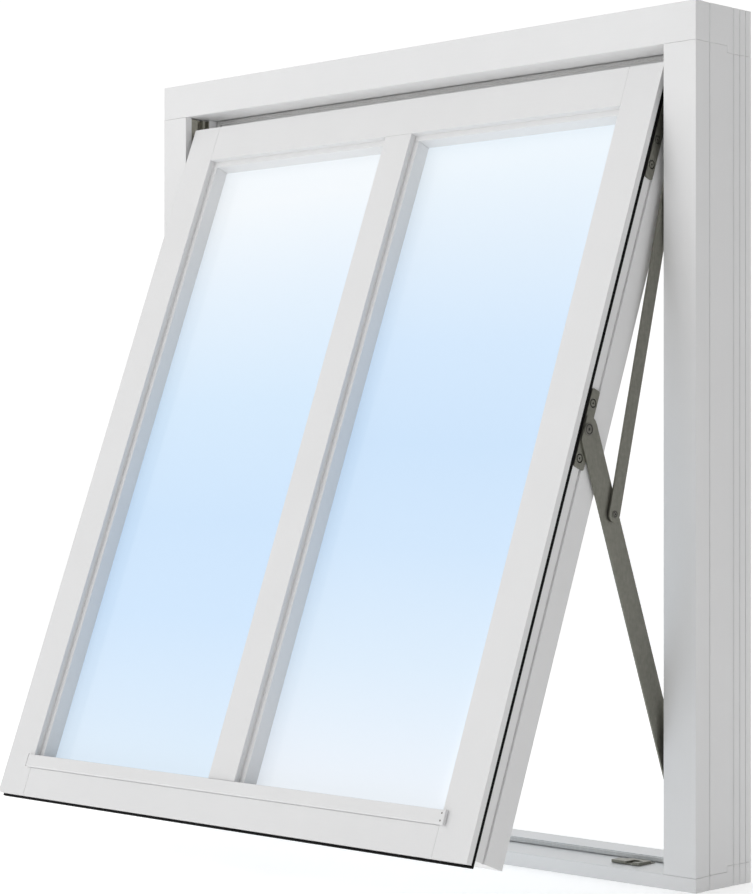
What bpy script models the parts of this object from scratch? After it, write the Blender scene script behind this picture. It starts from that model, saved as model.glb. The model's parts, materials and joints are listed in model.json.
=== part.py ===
"""Top-guided swing window: fixed timber frame, glazed sash and the two side stays.

Metres, +Z up, outside of the window towards -Y. The origin is the centre of the sill's
underside. The sash stands open at OPEN_ANGLE. The sash's guide pins and the main arms' feet
run in the tracks on one vertical line, TRACK_LINE behind the frame's front, and the sash's
own pivots reach that line as it closes. Both ends of each upper link lie RIVET_SIDE behind it.
"""
import math

import bmesh
import bpy
from mathutils import Matrix, Vector

# ---------------------------------------------------------------- driving dimensions
FRAME_W = 1.088
FRAME_H = 1.188
FRAME_D = 0.125
JAMB_FACE = 0.054
HEAD_FACE = 0.053
SILL_FACE = 0.0195
SILL_RISE = 0.001          # the sill's weather slope, from the front edge to SILL_SLOPE_D
SILL_SLOPE_D = 0.041
REBATE_D = 0.071           # depth from the front face to the stop
STOP_H = 0.0095            # how far the stop stands into the opening
SILL_STOP_H = 0.008
GAP = 0.0003               # between pieces that touch on the real window
BEYOND = 0.010             # how far a cutter runs past what it cuts
OVERLAP = 0.001            # between solids that are joined into one
GROOVES = ((0.1125, 0.0020), (0.0993, 0.0026), (0.0848, 0.0044), (0.0321, 0.0030))
SIDE_STEP_D = 0.0170       # the frame's full-width front strip, then its recessed sides
SIDE_RECESS = 0.0015
GROOVE_DEPTH = 0.0030
TRACK_ENDS = (0.004, 0.002)  # the track's gaps to the sill's front edge and to the head
GASKET_BAND = 0.0075
GASKET_T = 0.0038

SASH_W = 0.962
SASH_H = 1.1094
SASH_T = 0.070
SASH_TOP_Z = 1.1315        # top of the closed sash
LIP_T = 0.0095
LIP_SIDE = 0.002
LIP_BOTTOM = 0.0075
SEAL_T = 0.0060            # depth of the weather seal behind the lip
SEAL_SEAT = 0.0060         # how deep its groove is, from the lip's edge
STILE_FACE = 0.0600
RAIL_FACE = 0.0590
BAR_FACE = 0.0540
STEP_D = 0.0098            # first return of the moulding
LEDGE_W = 0.0090
GLASS_D = 0.0330           # sash face to the glass
GLASS_REBATE = 0.013
UNIT_T = 0.0240
PANE_T = 0.0040
BOTTOM_RAIL_TOP = 1.0670   # distances down from the top of the sash
BOTTOM_RAIL_SEAT = 1.0645
BEAD_TOP = 1.0470
BEAD_PROUD = 0.0050
BEAD_LAP = 0.0070          # the outer bead's lap on each stile
SIDE_GROOVE = (0.0302, 0.0349)
SIDE_GROOVE_DEPTH = 0.0035
TOP_REBATE = (0.058, 0.008)  # depth and height of the step that closes under the head's stop
SEAL_END = 0.0005          # play behind the weather seal
FOOT_SHIFT = 0.0001        # keeps the cut of the stile's foot off the lip's own edge
BEAD_FALL = 0.0010         # the bead's top: fall to its nose, and rise to the glass
BEAD_RISE = 0.0060
BEAD_CHAMFER = 0.0020
CAP_END = 0.0025           # outer end of the bead's cap, from the bead
CAP_PROUD = 0.0005
UNIT_CLEAR = 0.0015        # play round a sealed unit
UNIT_BLOCK = 0.0020        # height of the blocks that it stands on
SPACER_INSET = 0.0005
SPACER_W = 0.0100
INNER_BEAD_INSET = 0.0010  # from the room-side face of the sash
INNER_BEAD_CHAMFER = 0.0040

OPEN_ANGLE = math.radians(20.8)
TRACK_LINE = 0.0310        # depth of the track line behind the front of the frame
PIVOT_C = 0.0245           # sash pivot behind the sash's face
PIVOT_DOWN = 0.5232
ARM_LEN = 0.5074           # sash pivot to shoe, and sash pivot to guide pin
GUIDE_DOWN = PIVOT_DOWN - ARM_LEN
ARM_TOP = 0.1212           # sash pivot to link rivet, along the arm
RIVET_SIDE = 0.0058        # link rivet behind the arm's centre line
LINK_LEN = 0.5459
ANCHOR_Z = SASH_TOP_Z - PIVOT_DOWN - ARM_TOP + LINK_LEN
ANCHOR_D = TRACK_LINE + RIVET_SIDE
LINK_ANGLE = math.asin(((ARM_LEN - ARM_TOP) * math.sin(OPEN_ANGLE)
                        + RIVET_SIDE * (1 - math.cos(OPEN_ANGLE))) / LINK_LEN)

ARM_WIDTH = 0.036
LINK_WIDTH = 0.022
PLATE_C = (0.0165, 0.0320)
SIDE_X = SASH_W / 2 - LIP_SIDE
JAMB_X = FRAME_W / 2 - JAMB_FACE
# layers of the stay between the sash's side and the jamb, as distances from the middle
PLATE_X = (SIDE_X + GAP, SIDE_X + 0.0024)
ARM_X = (SIDE_X + 0.0027, SIDE_X + 0.0052)
HEAD_X = (ARM_X[1] + GAP, ARM_X[1] + 0.0012)
LINK_X = (ARM_X[1] + 0.0016, ARM_X[1] + 0.0041)
RIVET_R = 0.0040
RIVET_CLEAR = 0.0003
TRACK_W = (0.0129, 0.0505)  # depths of the track's two edges
TRACK_T = 0.0095
CHANNEL_W = (TRACK_LINE - 0.006, TRACK_LINE + 0.006)
SLOT_W = (0.0410, 0.0490)
CHANNEL_D = 0.008
SHOE_W = 0.009
SHOE_PLAY = (0.0006, 0.0008)  # from the track's face, and from the channel's floor
SLIDER_L = 0.040
GUIDE_L = 0.022
SLIDER_PIN = 0.0015        # how far the slider's pin passes the main arm
SLIDER_CAP_R = 0.0065
SASH_RIVET_R = 0.0085      # radii of the rivets' heads, collar and tail
LINK_HEAD_R = 0.0050
LINK_COLLAR_R = 0.0070
LINK_TAIL_R = 0.0062
HEAD_T = 0.0012
PLATE_ROUND = 0.0025
MID_PLATE = (0.468, 0.577)    # distances down to the plates' two ends
MID_PLATE_WAIST = (0.540, 0.548)
MID_PLATE_FOOT = 0.005     # how much wider the mid plate's foot is
TOP_PLATE = (0.007, 0.1625)
ARM_CROP = (0.0162, 0.45, 0.60)  # the shoulder's edge behind the sash's face, and its reach down
ANCHOR_HALF = (0.010, 0.022)
ANCHOR_HEAD_R = 0.0060

FACE_STILE_X = SASH_W / 2 - STILE_FACE
SIGHT_X = FACE_STILE_X - LEDGE_W
SEAT_X = SIGHT_X + GLASS_REBATE
BAR_SIGHT = BAR_FACE / 2 + LEDGE_W
BAR_SEAT = BAR_SIGHT - GLASS_REBATE
SIGHT_TOP = RAIL_FACE + LEDGE_W
SEAT_TOP = SIGHT_TOP - GLASS_REBATE
BODY_FOOT = SASH_H - LIP_BOTTOM

HANDLE_DOWN = 1.0830
LOCK_C = 0.028             # depth of the locking pins behind the sash's face
LOCK_X = 0.411             # the pins unlocked, in line with the striker's slot
CASE_X = 0.050             # half width, half depth, and top and foot of the lock case
CASE_HALF_D = 0.009
CASE_DOWN = (1.0700, 1.0960)
CASE_CLEAR = 0.0005
SPINDLE_R = 0.0040
SPINDLE_BORE_R = 0.0055
NECK_R = 0.0072
NECK_START = 0.0005        # clear of the sash's room-side face
NECK_END = 0.038
ROSETTE_BORE_R = 0.0075
ROSETTE_HALF = (0.031, 0.0135)
ROSETTE_T = 0.0085
ROSETTE_ROUND = 0.003
LEVER_LOW = (-0.009, 0.034, -0.010)
LEVER_HIGH = (0.009, 0.046, 0.105)
LEVER_ROUND = 0.004
ROD_START = 0.012          # the rods' inner ends, from the middle
ROD_PAST_PIN = 0.008
ROD_HALF_D = 0.008
ROD_RISE = (0.0006, 0.0030)   # the rod's two faces above the body's foot
ROD_GROOVE = (0.445, 0.0085, 0.0034)  # half length, half depth and height
LOCK_PIN_R = 0.0030
LOCK_PIN_L = 0.0078
LOCK_PIN_MIDDLE = 0.0029   # below the body's foot
STRIKER_X = (0.0313, 0.0167)  # the base's reach inwards and outwards from the pin
STRIKER_D = (0.0245, 0.0610)
STRIKER_BASE_T = 0.0011
STRIKER_H = 0.0042
INNER_PRONG_D = (0.0245, 0.0455)
OUTER_PRONG_D = (0.0245, 0.0491)
BRIDGE_D = (0.0435, 0.0520)
BRIDGE_START = 0.0185      # the bridge's inner end, inwards from the pin
FORK_SLOT = 0.0115
NOTCH_HALF = 0.0036
NOTCH_L = 0.0085           # the pin slides sideways into the notch
SASH_SET = TRACK_LINE - PIVOT_C   # front of the closed sash, behind the front of the frame
FRONT_Y = -FRAME_D / 2


# ---------------------------------------------------------------- scene and materials
def clear_scene():
    """Remove the objects that a new file starts with."""
    for item in list(bpy.data.objects):
        bpy.data.objects.remove(item, do_unlink=True)


def collection(name):
    """A new collection linked to the scene."""
    made = bpy.data.collections.new(name)
    bpy.context.scene.collection.children.link(made)
    return made


def finish(name, colour, roughness, metallic=0.0):
    """A Principled material."""
    made = bpy.data.materials.new(name)
    made.use_nodes = True
    shader = made.node_tree.nodes["Principled BSDF"]
    shader.inputs["Base Color"].default_value = (*colour, 1.0)
    shader.inputs["Roughness"].default_value = roughness
    shader.inputs["Metallic"].default_value = metallic
    return made


clear_scene()
PARTS = collection("window_sash")
CUTTERS = collection("cutters")
PAINT = finish("white_paint", (0.82, 0.82, 0.82), 0.45)
STEEL = finish("zinc_steel", (0.23, 0.22, 0.19), 0.45, 0.8)
TRACK = finish("track_steel", (0.40, 0.38, 0.33), 0.4, 0.8)
RUBBER = finish("black_rubber", (0.01, 0.01, 0.01), 0.7)
PALE_SEAL = finish("pale_seal", (0.70, 0.70, 0.69), 0.6)
GLASS = finish("clear_glass", (0.75, 0.87, 0.95), 0.05)
SPACER = finish("spacer_bar", (0.45, 0.46, 0.47), 0.5, 0.3)
PLASTIC = finish("shoe_nylon", (0.05, 0.05, 0.05), 0.5)
HANDLE = finish("handle_metal", (0.62, 0.62, 0.60), 0.3, 0.9)


# ---------------------------------------------------------------- building tools
def pivot(name, location, angle=0.0):
    """An empty on a joint's axis, turned about X."""
    made = bpy.data.objects.new(name, None)
    made.location = location
    made.rotation_euler = (angle, 0.0, 0.0)
    made.empty_display_size = 0.03
    PARTS.objects.link(made)
    return made


def place(item, name, material, parent, cutter=False):
    """Name an object, put it in its collection and hang it on its parent."""
    for owner in list(item.users_collection):
        owner.objects.unlink(item)
    (CUTTERS if cutter else PARTS).objects.link(item)
    item.name = name
    item.parent = parent
    if cutter:
        item.hide_render = True
        item.display_type = "WIRE"
    else:
        item.data.materials.clear()
        item.data.materials.append(material)
    return item


def block(name, material, low, high, parent=None, cutter=False):
    """A box between two corners."""
    low, high = Vector(low), Vector(high)
    bpy.ops.mesh.primitive_cube_add(size=1.0)
    item = bpy.context.object
    size = high - low
    item.data.transform(Matrix.Diagonal((*size, 1.0)))
    item.location = (low + high) / 2
    return place(item, name, material, parent, cutter)


# turns a flat outline's plane and its thickness to the plane that it is drawn in
UPRIGHT = Matrix.Identity(4)
SIDEWAYS = Matrix(((0, 0, 1, 0), (1, 0, 0, 0), (0, 1, 0, 0), (0, 0, 0, 1)))


def prism(name, material, outline, span, turn=SIDEWAYS, parent=None, cutter=False, holes=()):
    """A flat outline drawn through a span.

    SIDEWAYS reads the outline as (y, z) and spans X; UPRIGHT reads (x, y) and spans Z.
    A rivet hole is left round each of the centres in holes.
    """
    drawing = bpy.data.curves.new(name + "_outline", "CURVE")
    drawing.dimensions = "2D"
    drawing.fill_mode = "BOTH"
    drawing.extrude = (span[1] - span[0]) / 2
    rims = [list(arc(centre, RIVET_R + RIVET_CLEAR, 7, 367, 24))[:-1] for centre in holes]
    for loop in (list(outline), *rims):
        line = drawing.splines.new("POLY")
        line.points.add(len(loop) - 1)
        for point, (u, v) in zip(line.points, loop):
            point.co = (u, v, 0.0, 1.0)
        line.use_cyclic_u = True
    sketch = bpy.data.objects.new(name + "_sketch", drawing)
    bpy.context.scene.collection.objects.link(sketch)
    graph = bpy.context.evaluated_depsgraph_get()
    graph.update()
    mesh = bpy.data.meshes.new_from_object(sketch.evaluated_get(graph))
    bpy.data.objects.remove(sketch, do_unlink=True)
    work = bmesh.new()
    work.from_mesh(mesh)
    bmesh.ops.remove_doubles(work, verts=work.verts, dist=1e-6)
    bmesh.ops.recalc_face_normals(work, faces=work.faces)
    work.to_mesh(mesh)
    work.free()
    mesh.transform(turn)
    item = bpy.data.objects.new(name, mesh)
    PARTS.objects.link(item)
    middle = (span[0] + span[1]) / 2
    item.location = (middle, 0, 0) if turn is SIDEWAYS else (0, 0, middle)
    return place(item, name, material, parent, cutter)


def rod(name, material, radius, start, end, parent=None, cutter=False, sides=24):
    """A round bar between two points on a line along X or Y."""
    start, end = Vector(start), Vector(end)
    way = end - start
    bpy.ops.mesh.primitive_cylinder_add(vertices=sides, radius=radius, depth=way.length)
    item = bpy.context.object
    item.data.transform(way.to_track_quat("Z", "Y").to_matrix().to_4x4())
    item.location = (start + end) / 2
    item.data.shade_smooth()
    item.data.set_sharp_from_angle(angle=math.radians(40))
    return place(item, name, material, parent, cutter)


def combine(item, other, operation):
    """Cut another object from this one, or join it on."""
    step = item.modifiers.new(operation.lower() + "_" + other.name, "BOOLEAN")
    step.operation = operation
    step.solver = "EXACT"
    step.object = other
    return item


def cut(item, *cutters):
    """Cut several cutters from an object."""
    for cutter in cutters:
        combine(item, cutter, "DIFFERENCE")
    return item


def join(item, *others):
    """Join helper solids to an object; they stay behind as cutters."""
    for other in others:
        combine(item, other, "UNION")
    return item


def arc(centre, radius, start, end, steps=10):
    """Points on an arc, angles in degrees."""
    for index in range(steps + 1):
        angle = math.radians(start + (end - start) * index / steps)
        yield (centre[0] + radius * math.cos(angle), centre[1] + radius * math.sin(angle))


def bar_outline(top, foot, radius):
    """A flat bar with round ends, between an upper and a lower centre."""
    return [*arc(top, radius, 0, 180), *arc(foot, radius, 180, 360)]


# ---------------------------------------------------------------- places
def sash_y(depth):
    """Depth behind the sash's face, in the sash's own frame."""
    return depth - PIVOT_C


def sash_z(down):
    """Distance down from the sash's top, in the sash's own frame."""
    return PIVOT_DOWN - down


def depth_y(depth):
    """Depth behind the front of the frame."""
    return FRONT_Y + depth


def arm_point(along, aside=0.0):
    """A point on the open main arm, by its distance from the sash pivot and behind the arm."""
    sine, cosine = math.sin(OPEN_ANGLE), math.cos(OPEN_ANGLE)
    rivet_z = ANCHOR_Z - LINK_LEN * math.cos(LINK_ANGLE)
    y = depth_y(TRACK_LINE) - (ARM_LEN - along) * sine + aside * cosine
    z = rivet_z + (ARM_TOP - along) * cosine + (aside - RIVET_SIDE) * sine
    return y, z


SASH_PIVOT = pivot("sash_pivot", (0, *arm_point(0.0)), -OPEN_ANGLE)


# ---------------------------------------------------------------- fixed frame
def head_outline(grow=0.0):
    """Head section as (y, z): the rebate in front and the stop behind."""
    under, stop = FRAME_H - HEAD_FACE, FRAME_H - HEAD_FACE - STOP_H
    rebate = depth_y(REBATE_D)
    return [(FRONT_Y, FRAME_H), (FRONT_Y, under - grow), (rebate - grow, under - grow),
            (rebate - grow, stop - grow), (-FRONT_Y, stop - grow), (-FRONT_Y, FRAME_H)]


def sill_outline(grow=0.0):
    """Sill section as (y, z), with its weather slope."""
    slope_end, rebate = depth_y(SILL_SLOPE_D), depth_y(REBATE_D)
    top = SILL_FACE + SILL_RISE
    return [(FRONT_Y, 0), (-FRONT_Y, 0), (-FRONT_Y, top + SILL_STOP_H + grow),
            (rebate - grow, top + SILL_STOP_H + grow), (rebate - grow, top + grow),
            (slope_end, top + grow), (FRONT_Y, SILL_FACE + grow)]


def jamb_outline(side):
    """Jamb section as (x, y), with the stop and the track's housing."""
    edge, rebate = FRAME_W / 2, depth_y(REBATE_D)
    house = TRACK_T + GAP
    near, far = depth_y(TRACK_W[0] - GAP), depth_y(TRACK_W[1] + GAP)
    line = [(JAMB_X, FRONT_Y), (JAMB_X, near), (JAMB_X + house, near), (JAMB_X + house, far),
            (JAMB_X, far), (JAMB_X, rebate), (JAMB_X - STOP_H, rebate),
            (JAMB_X - STOP_H, -FRONT_Y), (edge, -FRONT_Y), (edge, FRONT_Y)]
    return [(side * x, y) for x, y in line]


def side_profile(side):
    """What is cut from the frame's outer side, as (x, y): the recess and its four grooves."""
    edge = FRAME_W / 2
    face, floor, beyond = edge - SIDE_RECESS, edge - GROOVE_DEPTH, edge + BEYOND
    line = [(beyond, -FRONT_Y + BEYOND), (face, -FRONT_Y + BEYOND)]
    for depth, width in GROOVES:
        y = depth_y(depth)
        line += [(face, y + width / 2), (floor, y + width / 2),
                 (floor, y - width / 2), (face, y - width / 2)]
    line += [(face, depth_y(SIDE_STEP_D)), (beyond, depth_y(SIDE_STEP_D))]
    return [(side * x, y) for x, y in line]


def build_frame():
    """Head and sill run across the ends of the jambs.

    The jambs are drawn some way into the head and the sill, which are then cut out of them.
    """
    half = FRAME_W / 2
    head = prism("frame_head", PAINT, head_outline(), (-half, half))
    sill = prism("frame_sill", PAINT, sill_outline(), (-half, half))
    beyond = (-half - BEYOND, half + BEYOND)
    head_cut = prism("head_cutter", None, head_outline(GAP), beyond, cutter=True)
    sill_cut = prism("sill_cutter", None, sill_outline(GAP), beyond, cutter=True)
    for name, side in (("left", -1), ("right", 1)):
        profile = prism("side_cutter_" + name, None, side_profile(side),
                        (-BEYOND, FRAME_H + BEYOND), UPRIGHT, cutter=True)
        jamb = prism("frame_jamb_" + name, PAINT, jamb_outline(side),
                     (SILL_FACE / 4, FRAME_H - HEAD_FACE / 10), UPRIGHT)
        cut(jamb, head_cut, sill_cut, profile)
        cut(head, profile)
        cut(sill, profile)
        build_track(name, side)
        build_striker(name, side)
        build_anchor(name, side)
    build_stop_gasket()


def build_track(name, side):
    """The steel track let into the jamb's rebate face: a running channel and a slot."""
    near, far = (depth_y(edge) for edge in TRACK_W)
    back = JAMB_X + TRACK_T
    run = JAMB_X + CHANNEL_D
    line = [(back, near), (JAMB_X, near)]
    for low, high in (CHANNEL_W, SLOT_W):
        line += [(JAMB_X, depth_y(low)), (run, depth_y(low)),
                 (run, depth_y(high)), (JAMB_X, depth_y(high))]
    line += [(JAMB_X, far), (back, far)]
    prism("track_" + name, TRACK, [(side * x, y) for x, y in line],
          (SILL_FACE + TRACK_ENDS[0], FRAME_H - HEAD_FACE - TRACK_ENDS[1]), UPRIGHT)


def build_striker(name, side):
    """The striker on the sill: a base and a two-pronged fork, notched for the locked pin."""
    floor = SILL_FACE + SILL_RISE + GAP
    top = floor + STRIKER_H
    pin_d = SASH_SET + LOCK_C

    def box(tag, x_pair, d_pair, z_pair, cutter=True):
        xs = sorted(side * x for x in x_pair)
        return block(f"striker_{tag}{name}", STEEL, (xs[0], depth_y(d_pair[0]), z_pair[0]),
                     (xs[1], depth_y(d_pair[1]), z_pair[1]), cutter=cutter)

    base = box("", (LOCK_X - STRIKER_X[0], LOCK_X + STRIKER_X[1]), STRIKER_D,
               (floor, floor + STRIKER_BASE_T), cutter=False)
    tall = (floor + STRIKER_BASE_T / 2, top)
    inner, outer = LOCK_X - FORK_SLOT / 2, LOCK_X + FORK_SLOT / 2
    reach_in, reach_out = LOCK_X - STRIKER_X[0], LOCK_X + STRIKER_X[1]
    join(base,
         box("inner_prong_", (reach_in, inner), INNER_PRONG_D, tall),
         box("bridge_", (LOCK_X - BRIDGE_START, reach_out), BRIDGE_D, tall),
         box("outer_prong_", (outer, reach_out), OUTER_PRONG_D, tall))
    notch = box("notch_", (outer - OVERLAP, outer + NOTCH_L),
                (pin_d - NOTCH_HALF, pin_d + NOTCH_HALF), (floor + STRIKER_BASE_T, top + BEYOND))
    cut(base, notch)


def build_anchor(name, side):
    """The upper link's fixed pivot, screwed to the face of the track."""
    y = depth_y(ANCHOR_D)
    outer = JAMB_X - GAP
    inner = LINK_X[1] + GAP
    xs = sorted((side * inner, side * outer))
    wide, tall = ANCHOR_HALF
    base = block("link_anchor_" + name, STEEL, (xs[0], y - wide, ANCHOR_Z - tall),
                 (xs[1], y + wide, ANCHOR_Z + tall))
    pin = rod("anchor_pin_" + name, None, RIVET_R, (side * (inner + OVERLAP), y, ANCHOR_Z),
              (side * HEAD_X[0], y, ANCHOR_Z), cutter=True)
    head = rod("anchor_head_" + name, None, ANCHOR_HEAD_R, (side * HEAD_X[1], y, ANCHOR_Z),
               (side * HEAD_X[0], y, ANCHOR_Z), cutter=True)
    join(base, pin, head)


def build_stop_gasket():
    """One inner seal round the front of the stop, sitting in the frame's rebate."""
    back = depth_y(REBATE_D) - GAP
    front = back - GASKET_T
    top, bottom = FRAME_H - HEAD_FACE - GAP, SILL_FACE + SILL_RISE + GAP
    wide = JAMB_X - GAP
    ring = block("stop_gasket", PALE_SEAL, (-wide, front, bottom), (wide, back, top))
    hole = block("stop_gasket_cutter", None,
                 (-wide + GASKET_BAND, front - BEYOND, bottom + GASKET_BAND),
                 (wide - GASKET_BAND, back + BEYOND, top - GASKET_BAND), cutter=True)
    cut(ring, hole)


# ---------------------------------------------------------------- sash
def stile_outline(side, grow=0.0):
    """Stile section as (x, y) in the sash's frame: lip, seal groove, side groove, moulding."""
    lip, wall = SASH_W / 2, SIDE_X
    face, sight, seat = FACE_STILE_X - grow, SIGHT_X - grow, SEAT_X - grow
    seal_end = LIP_T + SEAL_T + SEAL_END
    groove = SIDE_GROOVE
    line = [(lip, -grow), (lip, LIP_T), (lip - SEAL_SEAT, LIP_T), (lip - SEAL_SEAT, seal_end),
            (wall, seal_end), (wall, groove[0]), (wall - SIDE_GROOVE_DEPTH, groove[0]),
            (wall - SIDE_GROOVE_DEPTH, groove[1]), (wall, groove[1]),
            (wall, SASH_T + grow), (seat, SASH_T + grow), (seat, GLASS_D + grow),
            (sight, GLASS_D + grow), (sight, STEP_D - grow), (face, STEP_D - grow),
            (face, -grow)]
    return [(side * x, sash_y(c)) for x, c in line]


def top_rail_outline(grow=0.0):
    """Top rail section as (y, z) in the sash's frame."""
    line = [(-grow, -grow), (-grow, RAIL_FACE + grow), (STEP_D - grow, RAIL_FACE + grow),
            (STEP_D - grow, SIGHT_TOP + grow), (GLASS_D + grow, SIGHT_TOP + grow),
            (GLASS_D + grow, SEAT_TOP + grow), (SASH_T + grow, SEAT_TOP + grow),
            (SASH_T + grow, -grow)]
    return [(sash_y(c), sash_z(d)) for c, d in line]


def bottom_rail_outline():
    """Bottom rail section as (y, z): lip, raised body and the two seats on top."""
    line = [(0, SASH_H), (LIP_T, SASH_H), (LIP_T, BODY_FOOT), (SASH_T, BODY_FOOT),
            (SASH_T, BOTTOM_RAIL_SEAT), (GLASS_D + GAP, BOTTOM_RAIL_SEAT),
            (GLASS_D + GAP, BOTTOM_RAIL_TOP), (0, BOTTOM_RAIL_TOP)]
    return [(sash_y(c), sash_z(d)) for c, d in line]


def bar_section():
    """Mid bar section as (x, y): face, ledges and the glass rebates behind."""
    half = [(BAR_FACE / 2, 0), (BAR_FACE / 2, STEP_D), (BAR_SIGHT, STEP_D), (BAR_SIGHT, GLASS_D),
            (BAR_SEAT, GLASS_D), (BAR_SEAT, SASH_T)]
    line = half + [(-x, c) for x, c in reversed(half)]
    return [(x, sash_y(c)) for x, c in line]


def build_sash_timber():
    """Two full-height stiles, the rails between them and the mid bar."""
    span = (sash_z(SASH_H), sash_z(0))
    beyond = (span[0] - BEYOND, span[1] + BEYOND)
    wide = (-SASH_W / 2 - BEYOND, SASH_W / 2 + BEYOND)
    foot = block("foot_cutter", None, (wide[0], sash_y(LIP_T + FOOT_SHIFT), beyond[0]),
                 (wide[1], sash_y(SASH_T + BEYOND), sash_z(BODY_FOOT)), SASH_PIVOT, cutter=True)
    shoulder = block("top_rebate_cutter", None,
                     (wide[0], sash_y(TOP_REBATE[0]), sash_z(TOP_REBATE[1])),
                     (wide[1], sash_y(SASH_T + BEYOND), beyond[1]), SASH_PIVOT, cutter=True)
    length, half, height = ROD_GROOVE
    groove = block("rod_groove", None, (-length, sash_y(LOCK_C - half), beyond[0]),
                   (length, sash_y(LOCK_C + half), sash_z(BODY_FOOT - height)),
                   SASH_PIVOT, cutter=True)
    cutters = []
    for name, side in (("left", -1), ("right", 1)):
        stile = prism("sash_stile_" + name, PAINT, stile_outline(side), span, UPRIGHT, SASH_PIVOT)
        cut(stile, foot, shoulder, groove)
        cutters.append(prism("stile_cutter_" + name, None, stile_outline(side, GAP), beyond,
                             UPRIGHT, SASH_PIVOT, cutter=True))
    # the rails and the bar run past their neighbours, which are then cut out of them
    past = 0.002
    reach = (-SEAT_X - past, SEAT_X + past)
    top = prism("sash_top_rail", PAINT, top_rail_outline(), reach, parent=SASH_PIVOT)
    cut(top, *cutters, shoulder)
    bottom = prism("sash_bottom_rail", PAINT, bottom_rail_outline(), reach, parent=SASH_PIVOT)
    cut(bottom, *cutters, groove)
    cut_lock_mortises(bottom)
    bar = prism("sash_mid_bar", PAINT, bar_section(),
                (sash_z(BOTTOM_RAIL_SEAT - GAP), sash_z(SEAT_TOP - BEYOND)), UPRIGHT, SASH_PIVOT)
    rail_cut = prism("top_rail_cutter", None, top_rail_outline(GAP), reach,
                     parent=SASH_PIVOT, cutter=True)
    seat_cut = block("bead_seat_cutter", None, (-BAR_FACE, sash_y(-SASH_T), sash_z(SASH_H)),
                     (BAR_FACE, sash_y(GLASS_D + 2 * GAP), sash_z(BEAD_TOP - GAP)), SASH_PIVOT,
                     cutter=True)
    cut(bar, rail_cut, seat_cut)
    build_outer_bead(cutters)


def cut_lock_mortises(rail):
    """Mortise for the lock case and bore for the handle's spindle."""
    wide, half = CASE_X + CASE_CLEAR, CASE_HALF_D + CASE_CLEAR
    case = block("case_mortise", None, (-wide, sash_y(LOCK_C - half), sash_z(SASH_H + BEYOND)),
                 (wide, sash_y(LOCK_C + half), sash_z(CASE_DOWN[0] - CASE_CLEAR)), SASH_PIVOT,
                 cutter=True)
    bore = rod("spindle_bore", None, SPINDLE_BORE_R, (0, sash_y(LOCK_C), sash_z(HANDLE_DOWN)),
               (0, sash_y(SASH_T + BEYOND), sash_z(HANDLE_DOWN)), SASH_PIVOT, cutter=True)
    cut(rail, case, bore)


def build_outer_bead(stile_cutters):
    """The weather bead across the foot of both panes, lapping the stiles, and its end caps."""
    low, high = BOTTOM_RAIL_TOP - GAP, BEAD_TOP
    line = [(-BEAD_PROUD, high + BEAD_FALL), (-BEAD_PROUD, low - BEAD_CHAMFER),
            (-BEAD_PROUD + BEAD_CHAMFER, low), (GLASS_D - GAP, low),
            (GLASS_D - GAP, high - BEAD_RISE), (0, high)]
    reach = FACE_STILE_X + BEAD_LAP
    bead = prism("outer_bead", PAINT, [(sash_y(c), sash_z(d)) for c, d in line],
                 (-reach, reach), parent=SASH_PIVOT)
    # the bead steps round the bar's foot and the stiles
    foot = block("bar_foot_cutter", None,
                 (-BAR_SIGHT - GAP, sash_y(-GAP), sash_z(BEAD_TOP)),
                 (BAR_SIGHT + GAP, sash_y(GLASS_D + BEYOND), sash_z(BEAD_TOP - 2 * BEYOND)),
                 SASH_PIVOT, cutter=True)
    cut(bead, *stile_cutters, foot)
    for name, side in (("left", -1), ("right", 1)):
        xs = sorted((side * (reach + GAP), side * (reach + CAP_END)))
        nose = -BEAD_PROUD - CAP_PROUD
        cap = [(nose, high), (nose, low), (-GAP, low), (-GAP, high)]
        prism("bead_cap_" + name, PAINT, [(sash_y(c), sash_z(d)) for c, d in cap], xs,
              parent=SASH_PIVOT)


def build_seals():
    """The black weather seal behind the lip and flush with it, on both sides and the bottom."""
    near, far = sash_y(LIP_T + GAP), sash_y(LIP_T + SEAL_T + GAP)
    seat = SASH_W / 2 - SEAL_SEAT + GAP
    foot = sash_z(SASH_H)
    for name, side in (("left", -1), ("right", 1)):
        xs = sorted((side * seat, side * SASH_W / 2))
        block("weather_seal_" + name, RUBBER, (xs[0], near, foot), (xs[1], far, sash_z(0.0)),
              SASH_PIVOT)
    block("weather_seal_bottom", RUBBER, (-seat + GAP, near, foot),
          (seat - GAP, far, sash_z(BODY_FOOT + GAP)), SASH_PIVOT)


def build_glazing():
    """Two sealed units, each an outer pane, a spacer and an inner pane, held by inner beads."""
    top, foot = SEAT_TOP + UNIT_CLEAR, BOTTOM_RAIL_SEAT - UNIT_BLOCK
    for name, side in (("left", -1), ("right", 1)):
        x_low, x_high = sorted((side * (BAR_SEAT + UNIT_CLEAR), side * (SEAT_X - UNIT_CLEAR)))

        def slab(tag, material, c_low, c_high, inset=0.0, cutter=False):
            return block(tag, material,
                         (x_low + inset, sash_y(c_low), sash_z(foot - inset)),
                         (x_high - inset, sash_y(c_high), sash_z(top + inset)),
                         SASH_PIVOT, cutter)

        front = GLASS_D + GAP
        back = GLASS_D + UNIT_T
        slab("outer_pane_" + name, GLASS, front, front + PANE_T)
        slab("inner_pane_" + name, GLASS, back - PANE_T, back)
        ring = slab("spacer_" + name, SPACER, front + PANE_T + GAP, back - PANE_T - GAP,
                    SPACER_INSET)
        cut(ring, slab("spacer_cutter_" + name, None, GLASS_D, back + BEYOND,
                       SPACER_INSET + SPACER_W, cutter=True))
        build_inner_beads(name, side)


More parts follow.
